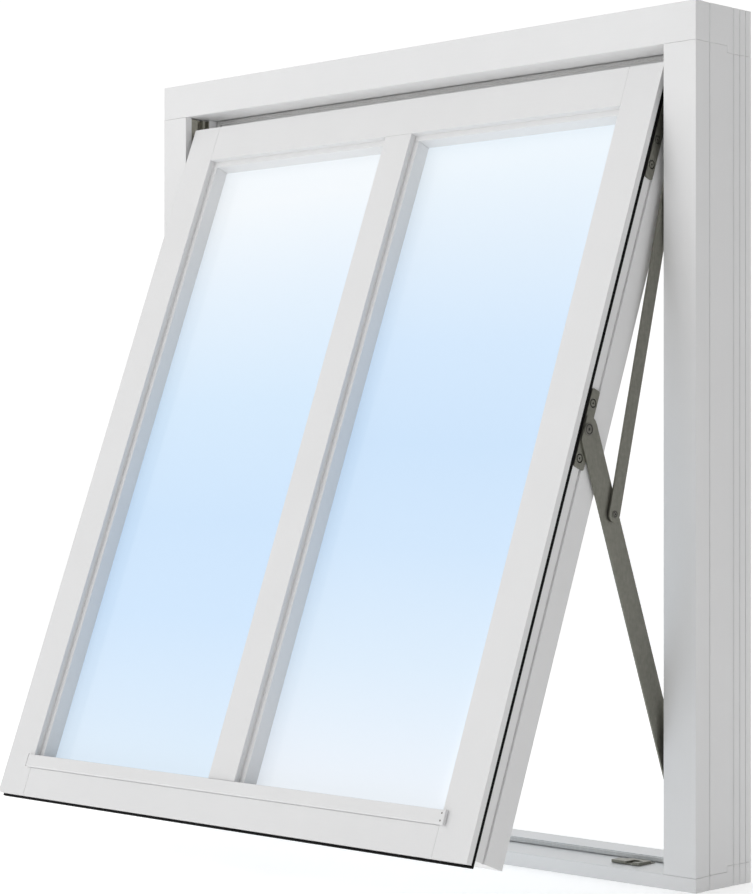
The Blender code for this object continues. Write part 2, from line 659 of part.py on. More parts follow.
def build_inner_beads(name, side):
    """Four glazing beads on the room side of one unit."""
    c_low, c_high = GLASS_D + UNIT_T + GAP, SASH_T - INNER_BEAD_INSET
    width = GLASS_REBATE - 2 * GAP
    x_bar, x_stile = BAR_SEAT + GAP, SEAT_X - GAP
    d_top, d_foot = SEAT_TOP + GAP, BOTTOM_RAIL_SEAT - GAP
    chamfer = INNER_BEAD_CHAMFER

    def section(edge, inward):
        """Bead section with a chamfer on its room-side sight edge, as (across, y)."""
        near, sight = edge, edge + inward * width
        return [(near, sash_y(c_low)), (sight, sash_y(c_low)), (sight, sash_y(c_high - chamfer)),
                (sight - inward * chamfer, sash_y(c_high)), (near, sash_y(c_high))]

    for tag, edge, inward in (("bar", x_bar, 1), ("stile", x_stile, -1)):
        line = [(side * x, y) for x, y in section(edge, inward)]
        prism(f"inner_bead_{name}_{tag}", PAINT, line, (sash_z(d_foot), sash_z(d_top)),
              UPRIGHT, SASH_PIVOT)
    xs = sorted((side * (x_bar + width + GAP), side * (x_stile - width - GAP)))
    for tag, edge, inward in (("top", d_top, 1), ("foot", d_foot, -1)):
        line = [(y, sash_z(d)) for d, y in section(edge, inward)]
        prism(f"inner_bead_{name}_{tag}", PAINT, line, xs, parent=SASH_PIVOT)


# ---------------------------------------------------------------- lock
def build_lock():
    """Handle, rosette, lock case and the two locking rods in the bottom rail."""
    z = sash_z(HANDLE_DOWN)
    block("lock_case", STEEL, (-CASE_X, sash_y(LOCK_C - CASE_HALF_D), sash_z(CASE_DOWN[1])),
          (CASE_X, sash_y(LOCK_C + CASE_HALF_D), sash_z(CASE_DOWN[0])), SASH_PIVOT)
    wide, tall = ROSETTE_HALF
    rosette = block("handle_rosette", HANDLE, (-wide, sash_y(SASH_T + GAP), z - tall),
                    (wide, sash_y(SASH_T + ROSETTE_T), z + tall), SASH_PIVOT)
    cut(rosette, rod("rosette_bore", None, ROSETTE_BORE_R, (0, sash_y(SASH_T - BEYOND), z),
                     (0, sash_y(SASH_T + 2 * BEYOND), z), SASH_PIVOT, cutter=True))
    soften(rosette, ROSETTE_ROUND)
    build_handle()
    for name, side in (("left", -1), ("right", 1)):
        build_lock_rod(name, side)


def soften(item, width):
    """Rounded edges."""
    step = item.modifiers.new("rounding", "BEVEL")
    step.width = width
    step.segments = 2
    step.limit_method = "ANGLE"
    step.angle_limit = math.radians(50)
    step.harden_normals = False
    return item


def build_handle():
    """The lever handle; its parent empty lies on the spindle's axis."""
    hub = pivot("handle_axis", (0, sash_y(SASH_T), sash_z(HANDLE_DOWN)))
    hub.parent = SASH_PIVOT
    lever = block("handle_lever", HANDLE, LEVER_LOW, LEVER_HIGH, hub)
    soften(lever, LEVER_ROUND)
    spindle = rod("handle_spindle", None, SPINDLE_R,
                  (0, LOCK_C + CASE_HALF_D + CASE_CLEAR - SASH_T, 0), (0, NECK_END, 0), hub,
                  cutter=True)
    neck = rod("handle_neck", None, NECK_R, (0, NECK_START, 0), (0, NECK_END, 0), hub,
               cutter=True)
    join(lever, spindle, neck)


def build_lock_rod(name, side):
    """A flat rod whose pin slides sideways into the striker's notch."""
    low, high = sorted((side * ROD_START, side * (LOCK_X + ROD_PAST_PIN)))
    bar = block("lock_rod_" + name, STEEL,
                (low, sash_y(LOCK_C - ROD_HALF_D), sash_z(BODY_FOOT - ROD_RISE[0])),
                (high, sash_y(LOCK_C + ROD_HALF_D), sash_z(BODY_FOOT - ROD_RISE[1])), SASH_PIVOT)
    bpy.ops.mesh.primitive_cylinder_add(vertices=20, radius=LOCK_PIN_R, depth=LOCK_PIN_L)
    pin = bpy.context.object
    pin.location = (side * LOCK_X, sash_y(LOCK_C), sash_z(BODY_FOOT + LOCK_PIN_MIDDLE))
    join(bar, place(pin, "lock_pin_" + name, None, SASH_PIVOT, cutter=True))


# ---------------------------------------------------------------- stays
def rounded(points, radius, steps=4):
    """A closed outline with each corner rounded."""
    for index, point in enumerate(points):
        corner = Vector(point)
        before = (Vector(points[index - 1]) - corner).normalized()
        after = (Vector(points[(index + 1) % len(points)]) - corner).normalized()
        half = before.angle(after) / 2
        centre = corner + (before + after).normalized() * radius / math.sin(half)
        start = corner + before * radius / math.tan(half) - centre
        sweep = start.angle_signed(corner + after * radius / math.tan(half) - centre)
        for step in range(steps + 1):
            turn = -sweep * step / steps
            cosine, sine = math.cos(turn), math.sin(turn)
            yield (centre.x + start.x * cosine - start.y * sine,
                   centre.y + start.x * sine + start.y * cosine)


def plate(name, side, line, pin_down):
    """A flat plate on the sash's side, with a hole for its pin."""
    outline = rounded([(sash_y(c), sash_z(d)) for c, d in line], PLATE_ROUND)
    return prism(name, STEEL, outline, layer(side, PLATE_X), parent=SASH_PIVOT,
                 holes=[(0, sash_z(pin_down))])


def layer(side, pair):
    """A layer's two distances from the middle, in order along X."""
    return tuple(sorted((side * pair[0], side * pair[1])))


def build_stay(name, side):
    """One side's plates, main arm, upper link, rivets and track shoes."""
    front, back = PLATE_C
    head, foot = MID_PLATE
    upper, lower = MID_PLATE_WAIST
    wide = back + MID_PLATE_FOOT
    plate("mid_plate_" + name, side, [(front, head), (front, foot), (wide, foot), (wide, lower),
                                      (back, upper), (back, head)], PIVOT_DOWN)
    head, foot = TOP_PLATE
    plate("top_plate_" + name, side, [(front, head), (front, foot), (back, foot), (back, head)],
          GUIDE_DOWN)
    build_link(name, side)
    build_arm(name, side)
    foot_y, foot_z = arm_point(ARM_LEN)
    pin_end = ARM_X[0] - SLIDER_PIN
    shoe = build_shoe("slider_" + name, side, (foot_y, foot_z), SLIDER_L, pin_end)
    cap = rod("slider_head_" + name, None, SLIDER_CAP_R, (side * pin_end, 0, 0),
              (side * (ARM_X[0] - GAP), 0, 0), shoe.parent, cutter=True)
    join(shoe, cap)
    guide_z = arm_point(0.0)[1] + ARM_LEN * math.cos(OPEN_ANGLE)
    build_shoe("guide_shoe_" + name, side, (foot_y, guide_z), GUIDE_L, PLATE_X[0] + OVERLAP / 2)


def build_link(name, side):
    """The upper link, hung on its anchor, and the rivet at its foot."""
    axis = pivot("link_axis_" + name, (0, depth_y(ANCHOR_D), ANCHOR_Z), -LINK_ANGLE)
    prism("link_" + name, STEEL, bar_outline((0, 0), (0, -LINK_LEN), LINK_WIDTH / 2),
          layer(side, LINK_X), parent=axis, holes=((0, 0), (0, -LINK_LEN)))
    core = (ARM_X[0] - HEAD_T, LINK_X[1] + 2 * HEAD_T / 3)
    rivet = rod("link_rivet_" + name, STEEL, RIVET_R, (side * core[0], 0, -LINK_LEN),
                (side * core[1], 0, -LINK_LEN), axis)
    tail_x = (ARM_X[0] - GAP - HEAD_T, ARM_X[0] - GAP)
    for tag, radius, inner, outer in (("collar", LINK_COLLAR_R, *HEAD_X),
                                      ("head", LINK_HEAD_R, LINK_X[1] + GAP, LINK_X[1] + HEAD_T),
                                      ("tail", LINK_TAIL_R, *tail_x)):
        join(rivet, rod(f"link_{tag}_{name}", None, radius, (side * inner, 0, -LINK_LEN),
                        (side * outer, 0, -LINK_LEN), axis, cutter=True))


def build_arm(name, side):
    """The main arm, hung on the link's rivet, and the rivet that carries the sash."""
    axis = pivot("arm_axis_" + name, (0, *arm_point(ARM_TOP, RIVET_SIDE)), OPEN_ANGLE)
    top, foot = (-RIVET_SIDE, ARM_TOP), (-RIVET_SIDE, ARM_TOP - ARM_LEN)
    arm = prism("arm_" + name, STEEL, bar_outline(top, foot, ARM_WIDTH / 2), layer(side, ARM_X),
                parent=axis, holes=(top, (0, 0), foot))
    # the arm's shoulder is cropped in line with the weather seal of the open sash
    xs = layer(side, (ARM_X[0] - OVERLAP, ARM_X[1] + OVERLAP))
    edge, upper, lower = ARM_CROP
    cut(arm, block("arm_crop_" + name, None, (xs[0], sash_y(-SASH_T), sash_z(lower)),
                   (xs[1], sash_y(edge), sash_z(upper)), SASH_PIVOT, cutter=True))
    rivet = rod("sash_rivet_" + name, STEEL, RIVET_R, (side * (PLATE_X[0] + GAP), *top),
                (side * (HEAD_X[0] + OVERLAP / 2), *top), axis)
    join(rivet, rod("sash_rivet_head_" + name, None, SASH_RIVET_R, (side * HEAD_X[0], *top),
                    (side * HEAD_X[1], *top), axis, cutter=True))


def build_shoe(name, side, centre, length, pin_end):
    """A nylon shoe running in the track's channel, with its pin towards the sash."""
    axis = pivot(name + "_axis", (0, *centre))
    x_low, x_high = layer(side, (JAMB_X + SHOE_PLAY[0], JAMB_X + CHANNEL_D - SHOE_PLAY[1]))
    shoe = block(name, PLASTIC, (x_low, -SHOE_W / 2, -length / 2), (x_high, SHOE_W / 2, length / 2),
                 axis)
    return join(shoe, rod(name + "_pin", None, RIVET_R, (side * (JAMB_X + 3 * OVERLAP), 0, 0),
                          (side * pin_end, 0, 0), axis, cutter=True))


build_frame()
build_sash_timber()
build_seals()
build_glazing()
build_lock()
for stay_name, stay_side in (("left", -1), ("right", 1)):
    build_stay(stay_name, stay_side)
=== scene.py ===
"""The looks of a top-guided timber window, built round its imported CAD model.

The frame's bodies and nodes set every place. Each sub-assembly is a class that builds its
pieces and dresses them; the finishes are procedural materials on Object coordinates.
"""

import json
import logging
import math
from dataclasses import dataclass, field
from enum import Enum
from typing import Any, Callable, Iterable, Optional, Sequence, Union

import bmesh
import bpy
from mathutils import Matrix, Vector

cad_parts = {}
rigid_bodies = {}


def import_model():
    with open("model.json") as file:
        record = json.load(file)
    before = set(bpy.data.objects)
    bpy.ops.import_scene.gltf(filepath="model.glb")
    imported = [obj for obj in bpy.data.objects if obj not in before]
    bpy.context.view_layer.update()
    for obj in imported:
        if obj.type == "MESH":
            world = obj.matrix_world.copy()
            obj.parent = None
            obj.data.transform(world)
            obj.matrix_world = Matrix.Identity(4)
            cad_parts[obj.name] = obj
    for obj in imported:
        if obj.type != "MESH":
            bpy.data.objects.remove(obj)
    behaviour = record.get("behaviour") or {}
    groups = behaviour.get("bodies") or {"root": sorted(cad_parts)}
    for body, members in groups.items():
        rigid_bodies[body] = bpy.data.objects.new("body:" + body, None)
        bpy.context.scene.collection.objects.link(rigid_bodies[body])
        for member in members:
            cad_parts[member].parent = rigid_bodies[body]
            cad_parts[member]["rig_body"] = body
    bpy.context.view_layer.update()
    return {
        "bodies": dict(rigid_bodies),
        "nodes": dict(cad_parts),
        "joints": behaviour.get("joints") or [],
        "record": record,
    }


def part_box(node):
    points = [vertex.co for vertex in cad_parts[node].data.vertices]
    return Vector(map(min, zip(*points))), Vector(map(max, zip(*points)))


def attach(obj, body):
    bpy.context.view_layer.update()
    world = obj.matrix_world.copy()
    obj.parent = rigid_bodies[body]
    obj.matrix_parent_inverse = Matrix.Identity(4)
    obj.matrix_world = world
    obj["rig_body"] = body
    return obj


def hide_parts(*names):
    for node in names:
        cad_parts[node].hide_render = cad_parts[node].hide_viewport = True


LOG = logging.getLogger("window")
SIDES: tuple[tuple[str, int], ...] = (("left", -1), ("right", 1))
Pair = tuple[float, float]
Colour = tuple[float, float, float]
Place = tuple[float, float, float]
Operand = Union["Signal", float]

WELD = 2e-6                        # distances under which points are merged, in metres
SEAM = 1e-6
FLAT = math.radians(0.6)           # faces that turn less than this are made one
BEVEL_FROM = math.radians(32)      # edges that turn more than this are rounded
SHARP_FROM = math.radians(50)      # edges that turn more than this are shaded sharp
TURNED_SHARP_FROM = math.radians(35)
HEAD_FACETS = 28
RIM_SHARE = 0.94                   # shares of a screw head's radius
DRIVE_SHARE = 0.36
DRIVE_SIDES = 6
CORNER_STEPS = 4


class Grain(Enum):
    """The direction in which a member's paint was brushed or its steel was rolled."""

    LEVEL = "level"
    UPRIGHT = "upright"
    SASH = "sash"


# ---- shader maths
def swatch(red: int, green: int, blue: int) -> Colour:
    """A colour chart's 0 to 255 values as the linear colour that a shader takes."""
    return tuple((value / 255 + 0.055) ** 2.4 / 1.055 ** 2.4 if value > 10 else value / 3294.6
                 for value in (red, green, blue))


class Signal:
    """A shader socket that takes part in Python expressions."""

    def __init__(self, shop: "ShaderTree", socket: bpy.types.NodeSocket) -> None:
        """Wraps a socket.

        Args:
            shop: the tree that the socket belongs to.
            socket: an output socket.
        """
        self.shop = shop
        self.socket = socket

    def _maths(self, operation: str, first: Operand, second: Operand) -> "Signal":
        """Adds one Math node.

        Args:
            operation: the Math node's operation.
            first: its first operand.
            second: its second operand.

        Returns:
            The node's result.
        """
        return self.shop.node("ShaderNodeMath", {"operation": operation}, {0: first, 1: second})

    def __add__(self, other: Operand) -> "Signal":
        """This plus another."""
        return self._maths("ADD", self, other)

    __radd__ = __add__

    def __sub__(self, other: Operand) -> "Signal":
        """This less another."""
        return self._maths("SUBTRACT", self, other)

    def __rsub__(self, other: Operand) -> "Signal":
        """Another less this."""
        return self._maths("SUBTRACT", other, self)

    def __mul__(self, other: Operand) -> "Signal":
        """This times another."""
        return self._maths("MULTIPLY", self, other)

    __rmul__ = __mul__


class ShaderTree:
    """A shader node tree and the tools that fill it."""

    def __init__(self, tree: bpy.types.NodeTree) -> None:
        """Takes a tree.

        Args:
            tree: the node tree of a material or of the world.
        """
        self.tree = tree

    def node(self, kind: str, settings: dict[str, Any], sockets: dict[Any, Any],
             output: Union[int, str] = 0) -> Signal:
        """Adds a node.

        Args:
            kind: the node's type.
            settings: properties set first; "stops" fills a colour ramp.
            sockets: values or signals, by the input's name or number.
            output: the output to return.

        Returns:
            The chosen output.
        """
        made = self.tree.nodes.new(kind)
        for key, value in settings.items():
            if key == "stops":
                self._fill_ramp(made.color_ramp, value)
            else:
                setattr(made, key, value)
        for key, value in sockets.items():
            if isinstance(value, Signal):
                self.tree.links.new(value.socket, made.inputs[key])
            else:
                made.inputs[key].default_value = value
        return Signal(self, made.outputs[output])

    @staticmethod
    def _fill_ramp(ramp: bpy.types.ColorRamp, stops: Sequence[tuple[float, Colour]]) -> None:
        """Sets a ramp's stops.

        Args:
            ramp: the ramp.
            stops: places from 0 to 1 with their colours.
        """
        while len(ramp.elements) < len(stops):
            ramp.elements.new(1.0)
        for element, (place, colour) in zip(ramp.elements, stops):
            element.position = place
            element.color = (*colour, 1.0)

    def place(self) -> Signal:
        """The point on the surface, in the object's own metres."""
        return self.node("ShaderNodeTexCoord", {}, {}, "Object")

    def stretched(self, grain: Grain, tilt: float, along: float) -> Signal:
        """The surface point, squeezed along the grain so that a pattern runs with it.

        Args:
            grain: the direction of the grain.
            tilt: how far the sash leans out, in radians.
            along: the scale along the grain, where across it is 1.

        Returns:
            The mapped vector.
        """
        scale = (along, 1.0, 1.0) if grain is Grain.LEVEL else (1.0, 1.0, along)
        turn = (tilt if grain is Grain.SASH else 0.0, 0.0, 0.0)
        return self.node("ShaderNodeMapping", {"vector_type": "POINT"},
                         {"Vector": self.place(), "Rotation": turn, "Scale": scale})

    def noise(self, vector: Signal, scale: float, detail: float = 3.0) -> Signal:
        """A noise value between 0 and 1.

        Args:
            vector: where it is read.
            scale: its frequency per metre.
            detail: its octaves.

        Returns:
            The noise's value.
        """
        return self.node("ShaderNodeTexNoise", {"noise_dimensions": "3D"},
                         {"Vector": vector, "Scale": scale, "Detail": detail}, "Fac")

    def ramp(self, value: Operand, stops: Sequence[tuple[float, Colour]]) -> Signal:
        """A colour read from a value.

        Args:
            value: what is read.
            stops: the ramp's stops.

        Returns:
            The colour.
        """
        return self.node("ShaderNodeValToRGB", {"stops": stops}, {"Fac": value}, "Color")


class Shader(ShaderTree):
    """One Principled material and the nodes that feed it."""

    def __init__(self, name: str, **fixed: Any) -> None:
        """Makes the material.

        Args:
            name: the material's name.
            fixed: constants for the Principled shader, by socket name with _ for a space.
        """
        self.material = bpy.data.materials.new(name)
        self.material.use_nodes = True
        super().__init__(self.material.node_tree)
        self.principled = self.tree.nodes["Principled BSDF"]
        for key, value in fixed.items():
            self.principled.inputs[key.replace("_", " ")].default_value = value

    def feed(self, socket: str, value: Signal) -> None:
        """Links a signal to the Principled shader.

        Args:
            socket: the shader's input.
            value: what feeds it.
        """
        self.tree.links.new(value.socket, self.principled.inputs[socket])

    def bump(self, height: Signal, strength: float, distance: float) -> None:
        """Gives the surface a fine relief.

        Args:
            height: the relief.
            strength: how much of it shows.
            distance: its full depth in metres.
        """
        relief = self.node("ShaderNodeBump", {}, {"Strength": strength, "Distance": distance,
                                                  "Height": height}, "Normal")
        self.feed("Normal", relief)


# ---- finishes
@dataclass(frozen=True)
class BrushedPaint:
    """White paint on timber, laid on along the member."""

    grain: Grain
    shade: float = 0.79
    mottle: float = 0.016
    blue: float = 1.002
    roughness: float = 0.45
    streaks: float = 420.0
    clouds: float = 9.0
    peel: float = 700.0
    relief: float = 0.00020

    def material(self, tilt: float) -> bpy.types.Material:
        """Makes the material.

        Args:
            tilt: how far the sash leans out, in radians.

        Returns:
            The material.
        """
        shader = Shader("white_paint_" + self.grain.value, Coat_Weight=0.10, Coat_Roughness=0.25)
        streak = shader.noise(shader.stretched(self.grain, tilt, 0.05), self.streaks, 4.0)
        cloud = shader.noise(shader.place(), self.clouds, 2.0)
        orange_peel = shader.noise(shader.place(), self.peel, 3.0)
        tone = 0.2 * streak + 0.5 * cloud + 0.3 * orange_peel
        low, high = self.shade - self.mottle, self.shade + self.mottle
        shader.feed("Base Color", shader.ramp(tone, ((0.30, (low, low, low * self.blue)),
                                                     (0.70, (high, high, high * self.blue)))))
        shader.feed("Roughness", self.roughness - 0.05 + 0.10 * streak)
        shader.bump(0.25 * streak + 0.75 * orange_peel, 0.45, self.relief)
        return shader.material


@dataclass(frozen=True)
class ZincSteel:
    """Dull zinc on rolled steel, with its spangle and rolling lines."""

    name: str
    dark: Colour
    light: Colour
    roughness: float = 0.40
    metallic: float = 0.75
    rolling: float = 900.0
    spangles: float = 160.0
    relief: float = 0.00008

    def material(self, tilt: float) -> bpy.types.Material:
        """Makes the material.

        Args:
            tilt: how far the sash leans out, in radians.

        Returns:
            The material.
        """
        shader = Shader(self.name, Metallic=self.metallic)
        rolled = shader.noise(shader.stretched(Grain.UPRIGHT, tilt, 0.08), self.rolling, 4.0)
        spangle = shader.noise(shader.place(), self.spangles, 2.0)
        tone = 0.45 * rolled + 0.55 * spangle
        shader.feed("Base Color", shader.ramp(tone, ((0.32, self.dark), (0.68, self.light))))
        shader.feed("Roughness", self.roughness - 0.08 + 0.16 * spangle)
        shader.bump(rolled, 0.30, self.relief)
        return shader.material


@dataclass(frozen=True)
class SealRubber:
    """Matt rubber with a fine dusty bloom."""

    name: str
    dark: Colour
    light: Colour

    def material(self) -> bpy.types.Material:
        """Makes the material."""
        shader = Shader(self.name, Specular_IOR_Level=0.15)
        bloom = shader.noise(shader.place(), 260.0, 4.0)
        shader.feed("Base Color", shader.ramp(bloom, ((0.35, self.dark), (0.75, self.light))))
        shader.feed("Roughness", 0.65 + 0.20 * bloom)
        shader.bump(bloom, 0.10, 0.00005)
        return shader.material


@dataclass(frozen=True)
class PaintedLightGlass:
    """Coated glass with a painted sky reflection, a pale blue that deepens towards the middle of
    its height, and a painted glow of the same colour.
    """

    name: str
    low_z: float
    high_z: float
    alpha: float
    stops: Sequence[tuple[float, Colour]]
    glow: float = 0.62
    body: float = 0.36
    drift: float = 1.6

    def material(self) -> bpy.types.Material:
        """Makes the material."""
        shader = Shader(self.name, Roughness=0.04, IOR=1.5, Alpha=self.alpha,
                        Emission_Strength=self.glow)
        height = shader.node("ShaderNodeSeparateXYZ", {}, {"Vector": shader.place()}, "Z")
        drift = shader.noise(shader.place(), self.drift, 1.0)
        share = (height - self.low_z) * (1.0 / (self.high_z - self.low_z)) + 0.04 * (drift - 0.5)
        # the ramp's blue is a painted sky reflection; fed to Emission Color it is also a painted
        # glow
        colour = shader.ramp(share, self.stops)
        shader.feed("Base Color", shader.node(
            "ShaderNodeMix", {"data_type": "RGBA", "blend_type": "MULTIPLY"},
            {"Factor": 1.0, 6: colour, 7: (self.body, self.body, self.body, 1.0)}, 2))
        shader.feed("Emission Color", colour)
        return shader.material


@dataclass(frozen=True)
class Moulded:
    """A plain moulded or cast surface with a fine texture."""

    name: str
    colour: Colour
    roughness: float
    metallic: float = 0.0

    def material(self) -> bpy.types.Material:
        """Makes the material."""
        shader = Shader(self.name, Metallic=self.metallic)
        texture = shader.noise(shader.place(), 700.0, 3.0)
        dark = tuple(0.88 * value for value in self.colour)
        shader.feed("Base Color", shader.ramp(texture, ((0.3, dark), (0.7, self.colour))))
        shader.feed("Roughness", self.roughness - 0.05 + 0.10 * texture)
        shader.bump(texture, 0.20, 0.00006)
        return shader.material


# ---- places
@dataclass
class SashSpace:
    """The open sash's own directions, read from the frame's joints.

    across is the world's X; depth runs from the outside to the room, and down from the top.
    """

    joints: dict[str, dict[str, Any]]
    pivot: Vector = field(init=False)
    tilt: float = field(init=False)

    def __post_init__(self) -> None:
        """Finds the sash's pivot and its tilt."""
        axis = Vector(self.joints["handle_turn"]["axis"])
        self.tilt = math.atan2(-axis.z, axis.y)
        self.pivot = Vector(self.joints["sash_swing"]["pos_m"])
        self.pivot.x = 0.0
        self.back = Vector((0.0, math.cos(self.tilt), -math.sin(self.tilt)))
        self.up = Vector((0.0, math.sin(self.tilt), math.cos(self.tilt)))

    def at(self, x: float, back: float, up: float) -> Vector:
        """A point from its distances to the sash's pivot."""
        return self.pivot + Vector((x, 0.0, 0.0)) + self.back * back + self.up * up

    def box(self, node: bpy.types.Object) -> tuple[Vector, Vector]:
        """A node's extent along the sash's own directions.

        Args:
            node: a CAD node of the sash.

        Returns:
            The lowest and the highest (x, back, up), from the pivot.
        """
        spots = [vertex.co - self.pivot for vertex in node.data.vertices]
        local = [(spot.x, spot.dot(self.back), spot.dot(self.up)) for spot in spots]
        return (Vector(min(values) for values in zip(*local)),
                Vector(max(values) for values in zip(*local)))


# ---- mesh tools
def new_piece(name: str, mesh: bpy.types.Mesh, material: bpy.types.Material) -> bpy.types.Object:
    """Links a mesh as a finished piece at the origin.

    Args:
        name: the piece's name.
        mesh: its mesh, in the frame's metres.
        material: its material.

    Returns:
        The object.
    """
    piece = bpy.data.objects.new(name, mesh)
    bpy.context.scene.collection.objects.link(piece)
    piece.data.materials.clear()
    piece.data.materials.append(material)
    return piece


def settle(piece: bpy.types.Object) -> bpy.types.Object:
    """Turns a piece's modifiers into plain mesh.

    Args:
        piece: the piece.

    Returns:
        The same piece, without modifiers.
    """
    graph = bpy.context.evaluated_depsgraph_get()
    graph.update()
    mesh = bpy.data.meshes.new_from_object(piece.evaluated_get(graph))
    piece.modifiers.clear()
    piece.data = mesh
    return piece


def welded_copy(node: bpy.types.Object) -> bpy.types.Mesh:
    """A copy of a CAD node's mesh with its flat faces made whole.

    Args:
        node: the CAD node.

    Returns:
        The merged mesh.
    """
    mesh = node.data.copy()
    work = bmesh.new()
    work.from_mesh(mesh)
    bmesh.ops.remove_doubles(work, verts=work.verts, dist=WELD)
    bmesh.ops.dissolve_limit(work, angle_limit=FLAT, verts=work.verts,
                             edges=work.edges)
    work.to_mesh(mesh)
    work.free()
    return mesh


def ease(piece: bpy.types.Object, width: float, segments: int = 2) -> bpy.types.Object:
    """Softens a piece's arrises and lights its flat faces evenly.

    Args:
        piece: the piece.
        width: the width of the rounding in metres.
        segments: the rounding's facets.

    Returns:
        The same piece.
    """
    rounding = piece.modifiers.new("arris", "BEVEL")
    rounding.width = width
    rounding.segments = segments
    rounding.limit_method = "ANGLE"
    rounding.angle_limit = BEVEL_FROM
    rounding.use_clamp_overlap = True
    settle(piece)
    piece.data.shade_smooth()
    piece.data.set_sharp_from_angle(angle=SHARP_FROM)
    weights = piece.modifiers.new("even_faces", "WEIGHTED_NORMAL")
    weights.keep_sharp = True
    return settle(piece)


def turned(profile: Sequence[Pair], centre: Vector, side: int, steps: int = 40) -> bpy.types.Mesh:
    """A turned piece on an axis along X.

    Args:
        profile: (radius, distance outwards) from one end to the other.
        centre: where distance 0 lies.
        side: 1 to turn it outwards to +X, -1 to -X.
        steps: the facets round it.

    Returns:
        The closed mesh.
    """
    mesh = bpy.data.meshes.new("turned")
    work = bmesh.new()
    spots = [work.verts.new(centre + Vector((side * out, 0.0, radius))) for radius, out in profile]
    edges = [work.edges.new(pair) for pair in zip(spots, spots[1:])]
    bmesh.ops.spin(work, geom=[*spots, *edges], cent=centre, axis=(1.0, 0.0, 0.0),
                   angle=2 * math.pi, steps=steps, use_merge=True)
    bmesh.ops.remove_doubles(work, verts=work.verts, dist=SEAM)
    bmesh.ops.recalc_face_normals(work, faces=work.faces)
    work.to_mesh(mesh)
    work.free()
    mesh.shade_smooth()
    mesh.set_sharp_from_angle(angle=TURNED_SHARP_FROM)
    return mesh


def loft(sections: Sequence[Sequence[Vector]]) -> bpy.types.Mesh:
    """A closed skin through rings of equally many points.

    Args:
        sections: the rings in order.

    Returns:
        The closed mesh.
    """
    mesh = bpy.data.meshes.new("loft")
    work = bmesh.new()
    rings = [[work.verts.new(point) for point in ring] for ring in sections]
    for near, far in zip(rings, rings[1:]):
        for index in range(len(near)):
            nxt = (index + 1) % len(near)
            work.faces.new((near[index], near[nxt], far[nxt], far[index]))
    work.faces.new(rings[0])
    work.faces.new(rings[-1])
    bmesh.ops.recalc_face_normals(work, faces=work.faces)
    work.to_mesh(mesh)
    work.free()
    mesh.shade_smooth()
    mesh.set_sharp_from_angle(angle=SHARP_FROM)
    return mesh


# ---- geometry node trees
class NodeTree:
    """A Geometry Nodes tree with named inputs, used once and then turned into plain mesh."""

    def __init__(self, name: str, **sizes: float) -> None:
        """Makes the tree.

        Args:
            name: the tree's name.
            sizes: the named number inputs.
        """
        self.tree = bpy.data.node_groups.new(name, "GeometryNodeTree")
        face = self.tree.interface
        face.new_socket("Geometry", in_out="INPUT", socket_type="NodeSocketGeometry")
        self.keys = {size: face.new_socket(size, in_out="INPUT", socket_type="NodeSocketFloat")
                     for size in sizes}
        face.new_socket("Geometry", in_out="OUTPUT", socket_type="NodeSocketGeometry")
        self.sizes = sizes
        self.entry = self.tree.nodes.new("NodeGroupInput")

    def size(self, name: str) -> bpy.types.NodeSocket:
        """The socket of a named input."""
        return self.entry.outputs[name]

    def node(self, kind: str, settings: dict[str, Any],
             sockets: dict[Any, Any]) -> bpy.types.Node:
        """Adds a node.

        Args:
            kind: the node's type.
            settings: properties set first.
            sockets: values or output sockets, by the input's name or number.

        Returns:
            The node.
        """
        made = self.tree.nodes.new(kind)
        for key, value in settings.items():
            setattr(made, key, value)
        for key, value in sockets.items():
            if isinstance(value, bpy.types.NodeSocket):
                self.tree.links.new(value, made.inputs[key])
            else:
                made.inputs[key].default_value = value
        return made

    def run(self, name: str, source: bpy.types.Mesh, last: bpy.types.NodeSocket,
            material: bpy.types.Material) -> bpy.types.Object:
        """Ends the tree and makes its result a plain piece.

        Args:
            name: the piece's name.
            source: the mesh that the tree reads.
            last: the geometry to finish.
            material: what it is dressed in.

        Returns:
            The piece.
        """
        real = self.node("GeometryNodeRealizeInstances", {}, {"Geometry": last})
        dressed = self.node("GeometryNodeSetMaterial", {},
                            {"Geometry": real.outputs[0], "Material": material})
        leave = self.tree.nodes.new("NodeGroupOutput")
        self.tree.links.new(dressed.outputs[0], leave.inputs[0])
        piece = bpy.data.objects.new(name, source)
        bpy.context.scene.collection.objects.link(piece)
        worker = piece.modifiers.new(name, "NODES")
        worker.node_group = self.tree
        for size, socket in self.keys.items():
            worker[socket.identifier] = float(self.sizes[size])
        settle(piece)
        piece.data.set_sharp_from_angle(angle=TURNED_SHARP_FROM)
        return piece


def point_cloud(name: str, spots: Iterable[Vector], joined: bool = False,
                ring: bool = False) -> bpy.types.Mesh:
    """A mesh of bare points, or of a path through them.

    Args:
        name: the mesh's name.
        spots: the points.
        joined: whether edges join them in order.
        ring: whether the path closes.

    Returns:
        The mesh.
    """
    points = [tuple(spot) for spot in spots]
    edges = [(i, i + 1) for i in range(len(points) - 1)] if joined else []
    if ring:
        edges.append((len(points) - 1, 0))
    mesh = bpy.data.meshes.new(name)
    mesh.from_pydata(points, edges, [])
    return mesh


